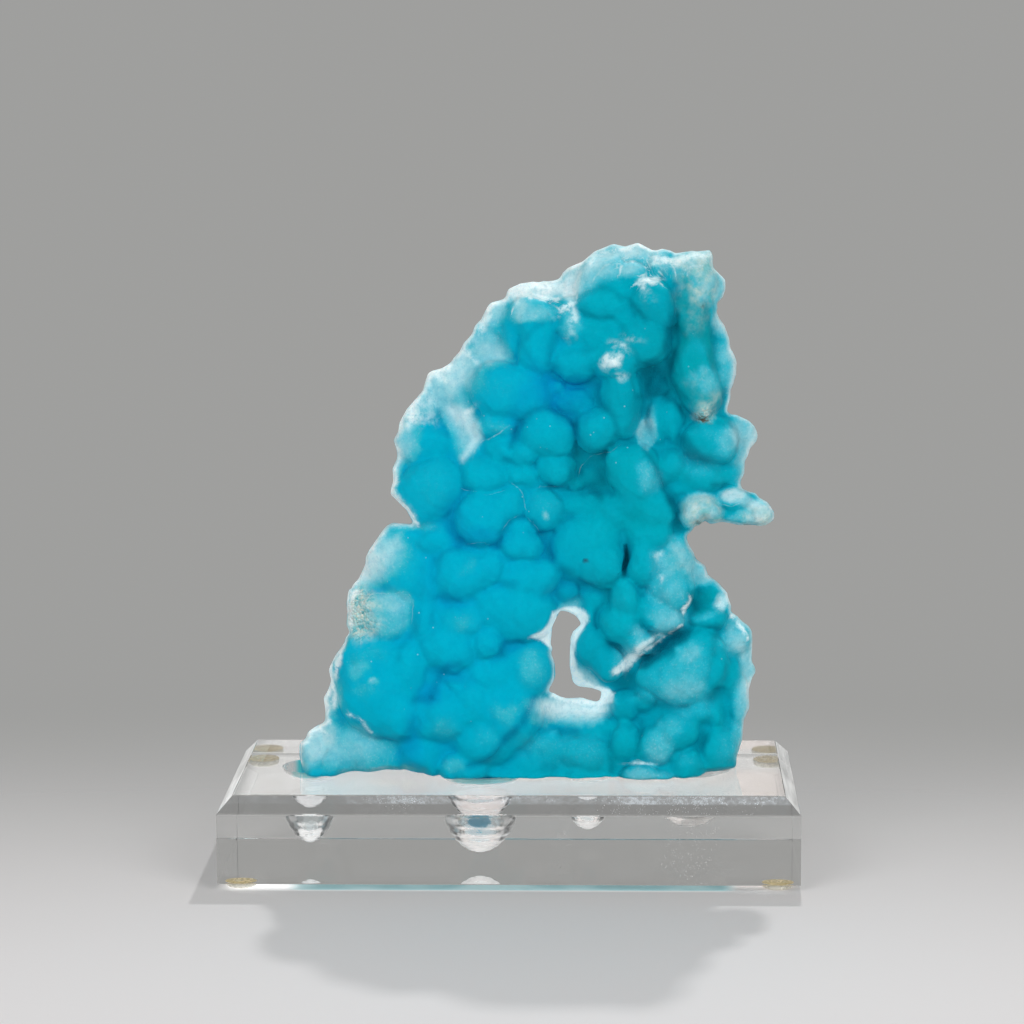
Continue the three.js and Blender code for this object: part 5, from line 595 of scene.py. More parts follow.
def to_plane(x, y, z):
    """Where the line from APEX through a point meets the plane y = 0."""
    s = (0 - APEX[1]) / (y - APEX[1])
    return APEX[0] + (x - APEX[0]) * s, APEX[2] + (z - APEX[2]) * s


def gauss(a, sigma):
    """a blurred along both axes; sigma in cells."""
    r = int(3 * sigma)
    w = np.exp(-0.5 * (np.arange(-r, r + 1) / sigma) ** 2)
    w /= w.sum()
    for axis in (0, 1):
        a = np.apply_along_axis(lambda v: np.convolve(v, w, mode="same"), axis, a)
    return a


def make_field():
    X, Y, Z = np.meshgrid(xs, ys, zs, indexing="ij", sparse=True)
    s = (0 - APEX[1]) / (Y - APEX[1])
    X0 = (APEX[0] + (X - APEX[0]) * s).astype(np.float32)
    Z0 = (APEX[2] + (Z - APEX[2]) * s).astype(np.float32)
    X0, Z0 = np.broadcast_arrays(X0 + 0 * Z, Z0 + 0 * X)
    rim = lookup(RIM, X0, Z0, gx[0], gz[0], G2)
    # growth isn't perfectly round: places wander a little
    full = np.stack(np.broadcast_arrays(X, Y, Z), -1)
    XW = X + 0.55 * waves(full, 19.0, 101, 2, 5) + 0.12 * waves(full, 4.5, 103, 1, 6)
    ZW = Z + 0.55 * waves(full, 19.0, 102, 2, 5) + 0.12 * waves(full, 4.5, 104, 1, 6)
    YW = Y + 0.35 * waves(full, 14.0, 105, 2, 5)
    ymid = 2.0 + 1.2 * np.sin(X0 / 17 + 1.3) * np.cos(Z0 / 23)
    q = np.clip(rim / 5.0, 0, 1)
    d = (np.abs(Y - ymid) - (3.1 * np.sqrt(q * (2 - q)) + 0.2)) * 0.85

    def put(e, add):
        cx, cy, cz, rx, ry, rz, k, lean = e
        R = max(rx, rz) if lean else 0
        ex, ey, ez = max(R, rx) + k + 2.5, ry + k + 2.5, max(R, rz) + k + 2.5
        i0, i1 = np.searchsorted(xs, [cx - ex, cx + ex])
        j0, j1 = np.searchsorted(ys, [cy - ey, cy + ey])
        k0, k1 = np.searchsorted(zs, [cz - ez, cz + ez])
        if i1 <= i0 or j1 <= j0 or k1 <= k0:
            return
        c = (slice(i0, i1), slice(j0, j1), slice(k0, k1))
        v = ellipsoid(XW[c], YW[c], ZW[c], cx, cy, cz, rx, ry, rz, lean)
        d[c] = smin(d[c], v, k) if add else smax(d[c], -v, k)

    for e in FRONT:
        put(e, True)
    # creases are shallow: stone fills them up to a little below the smoothed front
    solid = d < 0
    hit = solid.any(1)
    first = np.where(hit, ys[np.argmax(solid, 1)], 0).astype(np.float64)
    first = np.where(hit & (first < 0.5), first, 0.5)
    ok = ((rim[:, len(ys) // 2, :] > 0.5)).astype(np.float64)
    # the lower parts are packed more closely than the rest
    U, V = X0[:, len(ys) // 2, :], Z0[:, len(ys) // 2, :]
    packed = np.maximum.reduce([
        np.exp(-(((U - 47) / 22) ** 2 + ((V - 50) / 20) ** 2) ** 2),
        np.exp(-(((U + 25) / 34) ** 2 + ((V - 62) / 34) ** 2) ** 2),
        0.7 * np.exp(-(((U - 8) / 20) ** 2 + ((V - 34) / 10) ** 2) ** 2)])
    for sigma, back in ((2.4, 1.75), (5.0, 2.9)):
        smooth_first = gauss(first * ok, sigma / H) / np.maximum(gauss(ok, sigma / H), 0.05) + back - 0.42 * back * packed
        fill = np.maximum((smooth_first[:, None, :] - Y).astype(np.float32), Y - (ymid + 1.0)) * 0.8
        d = smin(d, fill, 0.8)
    for (cx, cy, cz, rx, ry, rz) in BACK:
        put((cx, cy, cz, rx, ry, rz, 2.8, 0), True)
    q = np.clip(rim / 9.0, 0, 1)
    d = smax(d, (np.abs(Y - 0.5) - (4.0 + np.where(Y > 0.5, 15.5, 17) * np.sqrt(q * (2 - q)))) * 0.8, 2.0)
    d = smax(d, -rim, 1.2)
    for e in CUTS:
        put(e, False)
    # fine unevenness of the growth surface
    d = d + 0.10 * waves(full, 3.4, 111, 2, 8)
    d = smax(d, SEAT - Z, 0.8)
    d = np.maximum(d, -rim)
    for (cx, cy, rx, ry, low) in ROOTS:
        v = ellipsoid(XW, Y, ZW, cx, cy, SEAT, rx, ry, SEAT - low, 0)
        d = smin(d, np.maximum(v, (Z - SEAT - 0.25) * 0.8), 0.5)
    return d.astype(np.float32)


field = make_field()


def sample(points):
    """The field's value at points, an (n, 3) array in mm."""
    u = (points - np.array([xs[0], ys[0], zs[0]])) / H
    top = np.array(field.shape) - 1.001
    u = np.clip(u, 0, top)
    i = u.astype(np.int32)
    f = (u - i).astype(np.float32)
    out = np.zeros(len(points), np.float32)
    for a in (0, 1):
        for b in (0, 1):
            for c in (0, 1):
                w = (f[:, 0] if a else 1 - f[:, 0]) * (f[:, 1] if b else 1 - f[:, 1]) * (f[:, 2] if c else 1 - f[:, 2])
                out += w * field[i[:, 0] + a, i[:, 1] + b, i[:, 2] + c]
    return out


def surface_nets(d):
    s = d < 0
    n = d.shape
    cnt = np.zeros((n[0] - 1, n[1] - 1, n[2] - 1), np.uint8)
    for a in (0, 1):
        for b in (0, 1):
            for c in (0, 1):
                cnt += s[a:n[0] - 1 + a, b:n[1] - 1 + b, c:n[2] - 1 + c]
    active = (cnt > 0) & (cnt < 8)
    I = np.argwhere(active)
    idx = -np.ones(active.shape, np.int32)
    idx[active] = np.arange(len(I))
    acc, num = np.zeros((len(I), 3)), np.zeros(len(I))
    for p in [(a, b, c) for a in (0, 1) for b in (0, 1) for c in (0, 1)]:
        for ax in range(3):
            if p[ax] == 0:
                q = list(p)
                q[ax] = 1
                v0 = d[I[:, 0] + p[0], I[:, 1] + p[1], I[:, 2] + p[2]]
                v1 = d[I[:, 0] + q[0], I[:, 1] + q[1], I[:, 2] + q[2]]
                m = (v0 < 0) != (v1 < 0)
                t = np.where(m, v0 / np.where(m, v0 - v1, 1), 0)
                at = np.tile(np.array(p, float), (len(I), 1))
                at[:, ax] += t
                acc[m] += at[m]
                num[m] += 1
    P = I + acc / num[:, None]
    verts = np.stack([xs[0] + P[:, 0] * H, ys[0] + P[:, 1] * H, zs[0] + P[:, 2] * H], 1)
    quads = []
    for ax in range(3):
        b, c = (ax + 1) % 3, (ax + 2) % 3
        s0, s1 = [slice(1, -1)] * 3, [slice(1, -1)] * 3
        s0[ax], s1[ax] = slice(0, -1), slice(1, None)
        inside = s[tuple(s0)]
        E = np.argwhere(inside != s[tuple(s1)])
        off = np.array([1, 1, 1])
        off[ax] = 0
        Eo = E + off
        flip = inside[tuple(E.T)]

        def cell(db, dc):
            q = Eo.copy()
            q[:, b] -= db
            q[:, c] -= dc
            return idx[q[:, 0], q[:, 1], q[:, 2]]

        f = np.stack([cell(1, 1), cell(0, 1), cell(0, 0), cell(1, 0)], 1)
        f[~flip] = f[~flip][:, ::-1]
        quads.append(f)
    return verts, np.vstack(quads)


def mesh_from(name, verts, faces):
    """A mesh of triangles or quads from arrays; verts are in metres."""
    me = bpy.data.meshes.new(name)
    k = faces.shape[1]
    me.vertices.add(len(verts))
    me.vertices.foreach_set("co", verts.astype(np.float32).ravel())
    me.loops.add(len(faces) * k)
    me.loops.foreach_set("vertex_index", faces.astype(np.int32).ravel())
    me.polygons.add(len(faces))
    me.polygons.foreach_set("loop_start", np.arange(0, len(faces) * k, k, dtype=np.int32))
    me.polygons.foreach_set("use_smooth", np.ones(len(faces), bool))
    me.update(calc_edges=True)
    me.validate()
    return me


def link(name, me):
    ob = bpy.data.objects.new(name, me)
    bpy.context.scene.collection.objects.link(ob)
    return ob


def applied(ob):
    """ob's mesh with its modifiers applied."""
    bpy.context.view_layer.update()
    dg = bpy.context.evaluated_depsgraph_get()
    me = bpy.data.meshes.new_from_object(ob.evaluated_get(dg))
    old = ob.data
    ob.modifiers.clear()
    ob.data = me
    bpy.data.meshes.remove(old)
    return ob


def coords(me):
    co = np.empty(len(me.vertices) * 3, np.float32)
    me.vertices.foreach_get("co", co)
    return co.reshape(-1, 3)


def normals(me):
    no = np.empty(len(me.vertices) * 3, np.float32)
    me.vertices.foreach_get("normal", no)
    return no.reshape(-1, 3)


verts, quads = surface_nets(field)
# keep the one body, and drop crumbs
stone = link("hemimorphite_specimen", mesh_from("hemimorphite_specimen", verts / 1000, quads))
TARGET = 190000
full = len(quads) * 2
if full > TARGET:
    m = stone.modifiers.new("thin", "DECIMATE")
    m.ratio = TARGET / full
    m.use_collapse_triangulate = True
    applied(stone)


def biggest_body(me):
    """The mesh without the crumbs that aren't joined to its biggest body."""
    tri = np.empty(len(me.polygons) * 3, np.int32)
    me.polygons.foreach_get("vertices", tri)
    tri = tri.reshape(-1, 3)
    label = np.arange(len(me.vertices))
    ends = np.concatenate([tri[:, [0, 1]], tri[:, [1, 2]]])
    while True:
        low = np.minimum(label[ends[:, 0]], label[ends[:, 1]])
        new = label.copy()
        np.minimum.at(new, ends[:, 0], low)
        np.minimum.at(new, ends[:, 1], low)
        new = new[new]
        if (new == label).all():
            break
        label = new
    main = np.bincount(label).argmax()
    keep = label == main
    index = np.cumsum(keep) - 1
    return mesh_from("specimen", coords(me)[keep], index[tri[keep[tri].all(1)]])


old = stone.data
stone.data = biggest_body(old)
bpy.data.meshes.remove(old)
stone.data.name = "hemimorphite_specimen"
print("specimen triangles", full, "->", len(stone.data.polygons))

# ------------------------------------------------------------------ what its surface carries
me = stone.data
P = coords(me) * 1000
N = normals(me)
x0, z0 = to_plane(P[:, 0], P[:, 1], P[:, 2])
rim = lookup(RIM, x0, z0, gx[0], gz[0], G2)


def thickness_map():
    """How much stone lies along the line from APEX, over the plane y = 0, and where it starts."""
    tx = np.arange(-64.0, 79.0, 0.8, dtype=np.float32)
    tz = np.arange(17.0, 182.0, 0.8, dtype=np.float32)
    A, B = np.meshgrid(tx, tz, indexing="ij")
    total = np.zeros(A.shape, np.float32)
    first = np.full(A.shape, 99.0, np.float32)
    for y in ys[::1]:
        s = (y - APEX[1]) / (0 - APEX[1])
        pts = np.stack([APEX[0] + (A - APEX[0]) * s, np.full(A.shape, y), APEX[2] + (B - APEX[2]) * s], -1).reshape(-1, 3)
        v = sample(pts).reshape(A.shape)
        total += np.clip(0.5 - v / H, 0, 1) * H
        first = np.where((v < 0) & (first > 98), y, first)
    for _ in range(2):
        t = np.pad(total, 1, mode="edge")
        total = (t[1:-1, 1:-1] * 2 + t[:-2, 1:-1] + t[2:, 1:-1] + t[1:-1, :-2] + t[1:-1, 2:]) / 6
    return total, first, tx[0], tz[0], 0.8


THICK, FIRST, tx0, tz0, tstep = thickness_map()
for _ in range(3):                                      # carried a little beyond the outline
    t = np.pad(FIRST, 1, mode="edge")
    FIRST = np.where(FIRST > 50, np.minimum.reduce([t[:-2, 1:-1], t[2:, 1:-1], t[1:-1, :-2], t[1:-1, 2:]]), FIRST)
thick = lookup(THICK, x0, z0, tx0, tz0, tstep)
first = lookup(np.minimum(FIRST, 20), x0, z0, tx0, tz0, tstep)
front = smooth(5.0, 2.0, P[:, 1] - first)              # 1 on what is seen from the front
lip = smooth(5.5, 1.2, P[:, 1] - first)                # and on the front part of the side walls

# how far each place lies behind (+) or before (-) the smoothed front, in mm
body = np.clip((THICK - 1.0) / 2, 0, 1).astype(np.float64)
flow = np.where(FIRST > 50, 0, FIRST).astype(np.float64)
level = {}
for sigma in (3.2, 8.0):
    level[sigma] = (gauss(flow * body, sigma / tstep) / np.maximum(gauss(body, sigma / tstep), 0.05)).astype(np.float32)
behind = {k: lookup(v, x0, z0, tx0, tz0, tstep) for k, v in level.items()}
hollow = np.clip(0.62 * (P[:, 1] - behind[3.2]) / 1.3 + 0.38 * (P[:, 1] - behind[8.0]) / 2.6, -1, 1) * front

# folds: how near other parts of the surface are, looking outwards
fold = np.zeros(len(P), np.float32)
for r, wgt in ((1.2, 0.30), (2.6, 0.35), (5.0, 0.35)):
    fold += wgt * np.clip(1 - sample(P + N * r) / (r * 0.92), 0, 1)
fold = np.clip(fold, 0, 1)

thin = smooth(13.5, 5.0, thick) * smooth(31.0, 37.0, z0)   # thin crust is pale, light comes through it
# edge: the rim along the outline, painted pale and white as light coming through it from behind
edge = smooth(lerp(2.4, 1.3, smooth(-20.0, 20.0, x0)), 0.0, rim) * smooth(27.5, 30.0, P[:, 2])
edge = edge * (0.55 + 0.45 * smooth(-0.5, 0.5, waves(P, 9.0, 22, 2)))
patchy = smooth(-0.5, 0.6, waves(P, 17.0, 23, 2))
edge = edge * lerp(0.10 + 0.22 * patchy, 1.0, lip) * lerp(1.0, 0.6, smooth(44.0, 56.0, x0))
thin = thin * lerp(0.12 + 0.25 * patchy, 1.0, lip) * lerp(1.0, 0.82, smooth(44.0, 56.0, x0))
drift = waves(P, 46.0, 5, 2)                            # the back has soft pale drifts of its own
masks = {k: np.zeros(len(P), np.float32) for k in ("deep", "dark", "teal", "green", "frost_and_rim_light", "beige", "grain", "brown", "blue", "white")}
masks["pale"] = 1 - (1 - 0.80 * thin) * (1 - 0.8 * edge) * (1 - (1 - front) * smooth(-0.1, 1.2, drift) * 0.3)
flat = np.stack([x0, P[:, 1] * 0.3, z0], 1)
wx = x0 + 1.0 * waves(flat, 11.0, 31, 2, 6) + 0.35 * waves(flat, 2.6, 33, 2, 6)
wz = z0 + 1.0 * waves(flat, 11.0, 32, 2, 6) + 0.35 * waves(flat, 2.6, 34, 2, 6)


def paint(kind, t):
    if kind == "blue":                                  # clear blue lumps standing in front of paler crust
        masks["pale"] *= 1 - t
        masks["frost_and_rim_light"] *= 1 - t
    else:
        masks[kind] = 1 - (1 - masks[kind]) * (1 - t)


for kind, px, pz, rx, rz, lean, strength, soft in PATCHES:
    c, s = math.cos(math.radians(lean)), math.sin(math.radians(lean))
    free = min(1.0, min(rx, rz) / 2.5) * min(1.0, 0.15 + soft)   # thin or crisp ones keep their place
    u, v = lerp(x0, wx, free) - px, lerp(z0, wz, free) - pz
    u, v = c * u - s * v, s * u + c * v
    r = np.sqrt((u / rx) ** 2 + (v / rz) ** 2)
    paint(kind, strength * smooth(1 + soft * 0.6, 1 - soft * 0.9 - 0.06, r) * front)


def along(line, X, Z):
    """Distance to an open line, with a sign for its side."""
    best = np.full(len(X), 1e9, np.float32)
    side = np.ones(len(X), np.float32)
    for (ax, az), (bx, bz) in zip(line[:-1], line[1:]):
        dx, dz = bx - ax, bz - az
        t = np.clip(((X - ax) * dx + (Z - az) * dz) / max(dx * dx + dz * dz, 1e-6), 0, 1)
        ex, ez = X - ax - t * dx, Z - az - t * dz
        d = np.hypot(ex, ez)
        m = d < best
        best = np.where(m, d, best)
        side = np.where(m, np.sign(dx * ez - dz * ex + 1e-9), side)
    return best, side


def near(line, pad):
    lx, lz = [p[0] for p in line], [p[1] for p in line]
    return np.flatnonzero((front > 0) & (x0 > min(lx) - pad) & (x0 < max(lx) + pad) & (z0 > min(lz) - pad) & (z0 < max(lz) + pad))


for kind, strength, soft, area in AREAS:
    i = near(area, soft + 2)
    t = np.zeros(len(P), np.float32)
    d = outline_distance(area, lerp(x0[i], wx[i], 0.12), lerp(z0[i], wz[i], 0.12))
    t[i] = strength * smooth(-soft * 0.5, soft * 0.5, d) * front[i]
    paint(kind, t)
for kind, half, strength, soft, line in STROKES:
    i = near(line, half * 2 + 2)
    t = np.zeros(len(P), np.float32)
    d, _ = along(line, lerp(x0[i], wx[i], 0.3), lerp(z0[i], wz[i], 0.3))
    t[i] = strength * smooth(half * (1 + soft), half * (1 - soft), d) * front[i]
    paint(kind, t)
# fine lines: how far each vertex is from the nearest one, in half widths, and how strong it is
fine = {}
for tone in (1, -1):
    dist, power, close = np.full(len(P), 6.0, np.float32), np.zeros(len(P), np.float32), np.full(len(P), 1e9, np.float32)
    for t_, half, strength, line in FINE:
        if t_ != tone:
            continue
        i = near(line, 2.5)
        d, side = along(line, lerp(x0[i], wx[i], 0.25), lerp(z0[i], wz[i], 0.25))
        m = d < close[i]
        close[i[m]] = d[m]
        dist[i[m]] = np.clip(d[m] * side[m] / half, -6, 6)
        power[i[m]] = strength * smooth(1.7, 0.9, d[m]) * front[i[m]]
    fine[tone] = (dist, power)

hue = smooth(-25.0, 40.0, x0 + 8 * waves(P, 60.0, 9, 1))
lit = np.maximum(smooth(12.0, -12.0, x0), smooth(158.0, 166.0, z0) * 0.7)   # the rims towards the light are the whitest
# painted light: the rims towards the light are painted whitest, as light coming through them from behind
masks["frost_and_rim_light"] = np.maximum(masks["frost_and_rim_light"], edge * lerp(0.5, 1.0, lit) * smooth(lerp(-0.1, -0.7, lit), lerp(0.6, 0.1, lit), waves(P, 16.0, 21, 2)))


def attribute(me, name, values):
    a = me.attributes.new(name, "FLOAT", "POINT")
    a.data.foreach_set("value", np.asarray(values, np.float32))


for k, v in masks.items():
    attribute(me, k, v)
attribute(me, "fold", fold)
attribute(me, "hue", hue)
attribute(me, "hollow", hollow)
for name, tone in (("light", 1), ("shade", -1)):
    attribute(me, name + "_at", fine[tone][0])
    attribute(me, name + "_power", fine[tone][1])


# ------------------------------------------------------------------ materials
def srgb(r, g, b, a=1.0):
    f = lambda c: c / 12.92 if c <= 0.04045 else ((c + 0.055) / 1.055) ** 2.4
    return (f(r / 255), f(g / 255), f(b / 255), a)


class Nodes:
    """A few short ways to add and join shader nodes."""

    def __init__(self, name):
        self.mat = bpy.data.materials.new(name)
        self.mat.use_nodes = True
        self.t = self.mat.node_tree
        self.bsdf = next(n for n in self.t.nodes if n.type == "BSDF_PRINCIPLED")
        self.coord = None

    def new(self, kind, **kw):
        n = self.t.nodes.new(kind)
        for k, v in kw.items():
            setattr(n, k, v)
        return n

    def put(self, socket, value):
        if isinstance(value, bpy.types.NodeSocket):
            self.t.links.new(value, socket)
        elif value is not None:
            socket.default_value = value

    def pos(self):
        if self.coord is None:
            self.coord = self.new("ShaderNodeTexCoord")
        return self.coord.outputs["Object"]

    def attr(self, name):
        return self.new("ShaderNodeAttribute", attribute_name=name).outputs["Fac"]

    def noise(self, scale, detail=2.0, rough=0.5, distortion=0.0, vector=None, out="Fac"):
        n = self.new("ShaderNodeTexNoise")
        self.put(n.inputs["Vector"], vector or self.pos())
        n.inputs["Scale"].default_value = scale
        n.inputs["Detail"].default_value = detail
        n.inputs["Roughness"].default_value = rough
        n.inputs["Distortion"].default_value = distortion
        return n.outputs[out]

    def voronoi(self, scale, feature="F1", out="Distance", vector=None):
        n = self.new("ShaderNodeTexVoronoi", feature=feature)
        self.put(n.inputs["Vector"], vector or self.pos())
        n.inputs["Scale"].default_value = scale
        return n.outputs[out]

    def math(self, op, a, b=None, c=None, clamp=False):
        n = self.new("ShaderNodeMath", operation=op, use_clamp=clamp)
        for i, v in enumerate((a, b, c)):
            if v is not None:
                self.put(n.inputs[i], v)
        return n.outputs[0]

    def map(self, value, a, b, c=0.0, d=1.0, smooth=True):
        n = self.new("ShaderNodeMapRange", interpolation_type="SMOOTHSTEP" if smooth else "LINEAR")
        self.put(n.inputs[0], value)
        for i, v in enumerate((a, b, c, d)):
            n.inputs[i + 1].default_value = v
        return n.outputs[0]

    def mix(self, fac, a, b, blend="MIX"):
        n = self.new("ShaderNodeMix", data_type="RGBA", blend_type=blend)
        self.put(n.inputs[0], fac)
        self.put(n.inputs[6], a)
        self.put(n.inputs[7], b)
        return n.outputs[2]

    def mixf(self, fac, a, b):
        n = self.new("ShaderNodeMix", data_type="FLOAT")
        self.put(n.inputs[0], fac)
        self.put(n.inputs[2], a)
        self.put(n.inputs[3], b)
        return n.outputs[0]

    def bump(self, height, strength, distance, normal=None):
        n = self.new("ShaderNodeBump")
        self.put(n.inputs["Height"], height)
        self.put(n.inputs["Strength"], strength)
        n.inputs["Distance"].default_value = distance
        if normal is not None:
            self.put(n.inputs["Normal"], normal)
        return n.outputs["Normal"]

    def __setitem__(self, name, value):
        self.put(self.bsdf.inputs[name], value)


def tone(r, g, b):
    """A colour of the specimen as it looks in the studio, brought down to its own reflectance."""
    return tuple(0.90 * c for c in srgb(r, g, b)[:3]) + (1,)


def bright(r, g, b):
    """The same for its palest parts, where light also comes through from behind."""
    return tuple(0.98 * c for c in srgb(r, g, b)[:3]) + (1,)


def hemimorphite_material():
    n = Nodes("hemimorphite")
    pale, deep, teal, dark = n.attr("pale"), n.attr("deep"), n.attr("teal"), n.attr("dark")
    frost_and_rim_light, beige, grainy, brown = n.attr("frost_and_rim_light"), n.attr("beige"), n.attr("grain"), n.attr("brown")
    fold, hue, green, white = n.attr("fold"), n.attr("hue"), n.attr("green"), n.attr("white")
    cloud = n.noise(75, 3, 0.55)
    fine = n.noise(480, 4, 0.62)
    dust = n.noise(2600, 2, 0.6)
    # body colour: cyan on the left, greener to the right
    col = n.mix(hue, tone(0, 186, 216), tone(0, 180, 201))
    col = n.mix(n.map(cloud, 0.3, 0.7, 0.0, 0.45), col, n.mix(hue, tone(0, 175, 211), tone(0, 167, 190)))
    col = n.mix(n.math("MULTIPLY", green, 0.8), col, tone(0, 160, 166))
    # painted highlight on the lumps' crowns, painted shade in their folds and hollows, and the deep patches, painted
    # shade in the valleys
    hollow = n.attr("hollow")
    col = n.mix(n.map(hollow, -0.15, -0.75, 0.0, 0.30), col, n.mix(hue, tone(6, 190, 220), tone(12, 186, 207)))
    painted_fold_shade = n.math("ADD", n.map(fold, 0.3, 0.9, 0.0, 0.15), n.map(hollow, 0.15, 1.0, 0.0, 0.23))
    painted_shade = n.math("ADD", painted_fold_shade, n.math("MULTIPLY", deep, 0.8), clamp=True)
    col = n.mix(painted_shade, col, n.mix(hue, tone(0, 144, 208), tone(0, 130, 166)))
    # dark teal: painted shade in recesses and gaps and under the overhanging ledge
    col = n.mix(n.math("MULTIPLY", teal, 0.92), col, tone(0, 104, 128))
    # pale, translucent crust, with fibres that run outwards from the root of the growth
    sep = n.new("ShaderNodeSeparateXYZ")
    n.put(sep.inputs[0], n.pos())
    px, pz = n.math("SUBTRACT", sep.outputs["X"], -0.004), n.math("SUBTRACT", sep.outputs["Z"], 0.028)
    fan = n.new("ShaderNodeCombineXYZ")
    n.put(fan.inputs[0], n.math("ARCTAN2", pz, px))
    reach = n.math("SQRT", n.math("ADD", n.math("MULTIPLY", px, px), n.math("MULTIPLY", pz, pz)))
    n.put(fan.inputs[1], n.math("MULTIPLY", reach, 3.0))
    n.put(fan.inputs[2], n.math("MULTIPLY", sep.outputs["Y"], 5.0))
    fibre = n.noise(11, 4, 0.55, 0.6, vector=fan.outputs[0])
    pale = n.math("ADD", pale, n.math("MULTIPLY", n.math("SUBTRACT", fibre, 0.5), n.math("MULTIPLY", n.map(pale, 0.10, 0.5, 0.0, 0.62), n.map(reach, 0.03, 0.10, 0.25, 1.0))), clamp=True)
    wob = n.math("ADD", pale, n.math("MULTIPLY", n.math("SUBTRACT", cloud, 0.5), n.map(pale, 0.02, 0.3, 0.0, 0.30)), clamp=True)
    wob = n.math("ADD", wob, n.math("MULTIPLY", n.math("SUBTRACT", fine, 0.5), n.map(pale, 0.05, 0.5, 0.0, 0.20)), clamp=True)
    ramp = n.new("ShaderNodeValToRGB")
    n.put(ramp.inputs[0], wob)
    cr = ramp.color_ramp
    cr.elements[0].position, cr.elements[0].color = 0.10, tone(0, 184, 209)
    cr.elements[1].position, cr.elements[1].color = 1.0, bright(230, 243, 245)
    cr.elements.new(0.28).color = tone(46, 192, 213)
    cr.elements.new(0.5).color = bright(98, 197, 214)
    cr.elements.new(0.75).color = bright(160, 216, 226)
    col = n.mix(n.map(wob, 0.0, 0.25, 0.0, 1.0), col, ramp.outputs[0])
    # stained growth: a milky green-grey veil
    bg = n.math("MULTIPLY", beige, n.map(n.math("ADD", n.noise(210, 3, 0.6), n.math("MULTIPLY", fine, 0.5)), 0.55, 0.95, 0.25, 1.0), clamp=True)
    col = n.mix(bg, col, n.mix(n.map(n.noise(330, 3, 0.6), 0.35, 0.65), tone(98, 190, 188), tone(214, 224, 210)))
    # broken crystal: coarse grains of white, beige and teal
    cell = n.new("ShaderNodeTexVoronoi", feature="F1")
    n.put(cell.inputs["Vector"], n.pos())
    cell.inputs["Scale"].default_value = 1150
    cell.inputs["Randomness"].default_value = 1.0
    pick = n.new("ShaderNodeSeparateColor")
    n.put(pick.inputs[0], cell.outputs["Color"])
    gr = n.new("ShaderNodeValToRGB")
    n.put(gr.inputs[0], n.math("ADD", n.math("MULTIPLY", pick.outputs[0], 0.34), n.math("MULTIPLY", n.noise(170, 5, 0.7), 0.92)))
    cr = gr.color_ramp
    cr.elements[0].position, cr.elements[0].color = 0.34, tone(104, 190, 196)
    cr.elements[1].position, cr.elements[1].color = 0.88, bright(250, 244, 226)
    cr.elements.new(0.5).color = bright(156, 214, 214)
    cr.elements.new(0.68).color = bright(210, 232, 224)
    col = n.mix(n.math("MULTIPLY", grainy, 0.92), col, gr.outputs[0])
    # frosted growth
    grit = n.noise(340, 5, 0.72)
    fr = n.math("MULTIPLY", frost_and_rim_light, n.map(n.math("ADD", grit, n.math("MULTIPLY", frost_and_rim_light, 0.22)), 0.42, 0.72), clamp=True)
    fr = n.math("MAXIMUM", fr, n.math("MULTIPLY", white, 0.96))
    col = n.mix(fr, col, srgb(240, 250, 250))
    # painted shade in the creases, in the pits and under the overhanging ledge
    col = n.mix(n.math("MULTIPLY", dark, n.map(fine, 0.2, 0.5, 0.78, 0.95)), col, n.mix(hue, tone(0, 112, 160), tone(0, 84, 110)))
    br = n.math("MULTIPLY", brown, n.map(n.noise(700, 4, 0.7), 0.38, 0.55), clamp=True)
    col = n.mix(br, col, tone(98, 74, 46))
    # fine lines along the edges of growth: the light ones are pale bands in the stone, the shade ones painted shade
    # along the creases
    for name, tint in (("light", tone(196, 234, 240)), ("shade", tone(0, 62, 88))):
        d = n.math("ABSOLUTE", n.math("ADD", n.attr(name + "_at"), n.math("MULTIPLY", n.math("SUBTRACT", n.noise(600, 3), 0.5), 1.2)))
        t = n.math("MULTIPLY", n.map(d, 0.2, 1.5, 1.0, 0.0), n.attr(name + "_power"))
        t = n.math("MULTIPLY", t, n.map(n.noise(330, 3, 0.7), 0.42, 0.60, 0.12, 1.0))
        col = n.mix(t, col, tint)
    # sparse bright specks
    spk = n.voronoi(260)
    speck = n.math("MULTIPLY", n.map(spk, 0.04, 0.08, 1.0, 0.0), n.map(n.noise(45, 2), 0.5, 0.62, 0.0, 0.5))
    col = n.mix(speck, col, tone(180, 228, 236))
    # sugar-fine grain, with a few brighter crystals
    col = n.mix(n.map(dust, 0.34, 0.7, 0.0, 0.10), col, tone(0, 204, 232))
    col = n.mix(n.map(n.noise(620, 4, 0.65), 0.58, 0.36, 0.0, 0.16), col, n.mix(hue, tone(0, 160, 200), tone(0, 148, 170)))
    col = n.mix(n.math("MULTIPLY", n.map(n.noise(1500, 3, 0.7), 0.50, 0.74, 0.0, 0.24), n.map(pale, 0.02, 0.45, 0.035, 1.0)), col, tone(206, 238, 244))
    col = n.mix(n.math("MULTIPLY", n.map(n.noise(1250, 2, 0.6), 0.46, 0.30, 0.0, 0.20), n.map(pale, 0.15, 0.5, 0.0, 1.0)), col, tone(20, 176, 198))
    n["Base Color"] = col
    n["Roughness"] = n.mixf(fr, n.map(fine, 0.3, 0.7, 0.44, 0.60), 0.72)
    n.bsdf.inputs["IOR"].default_value = 1.61
    n.bsdf.inputs["Specular IOR Level"].default_value = 0.06
    n.bsdf.inputs["Specular Tint"].default_value = (0.1, 0.8, 1.0, 1)
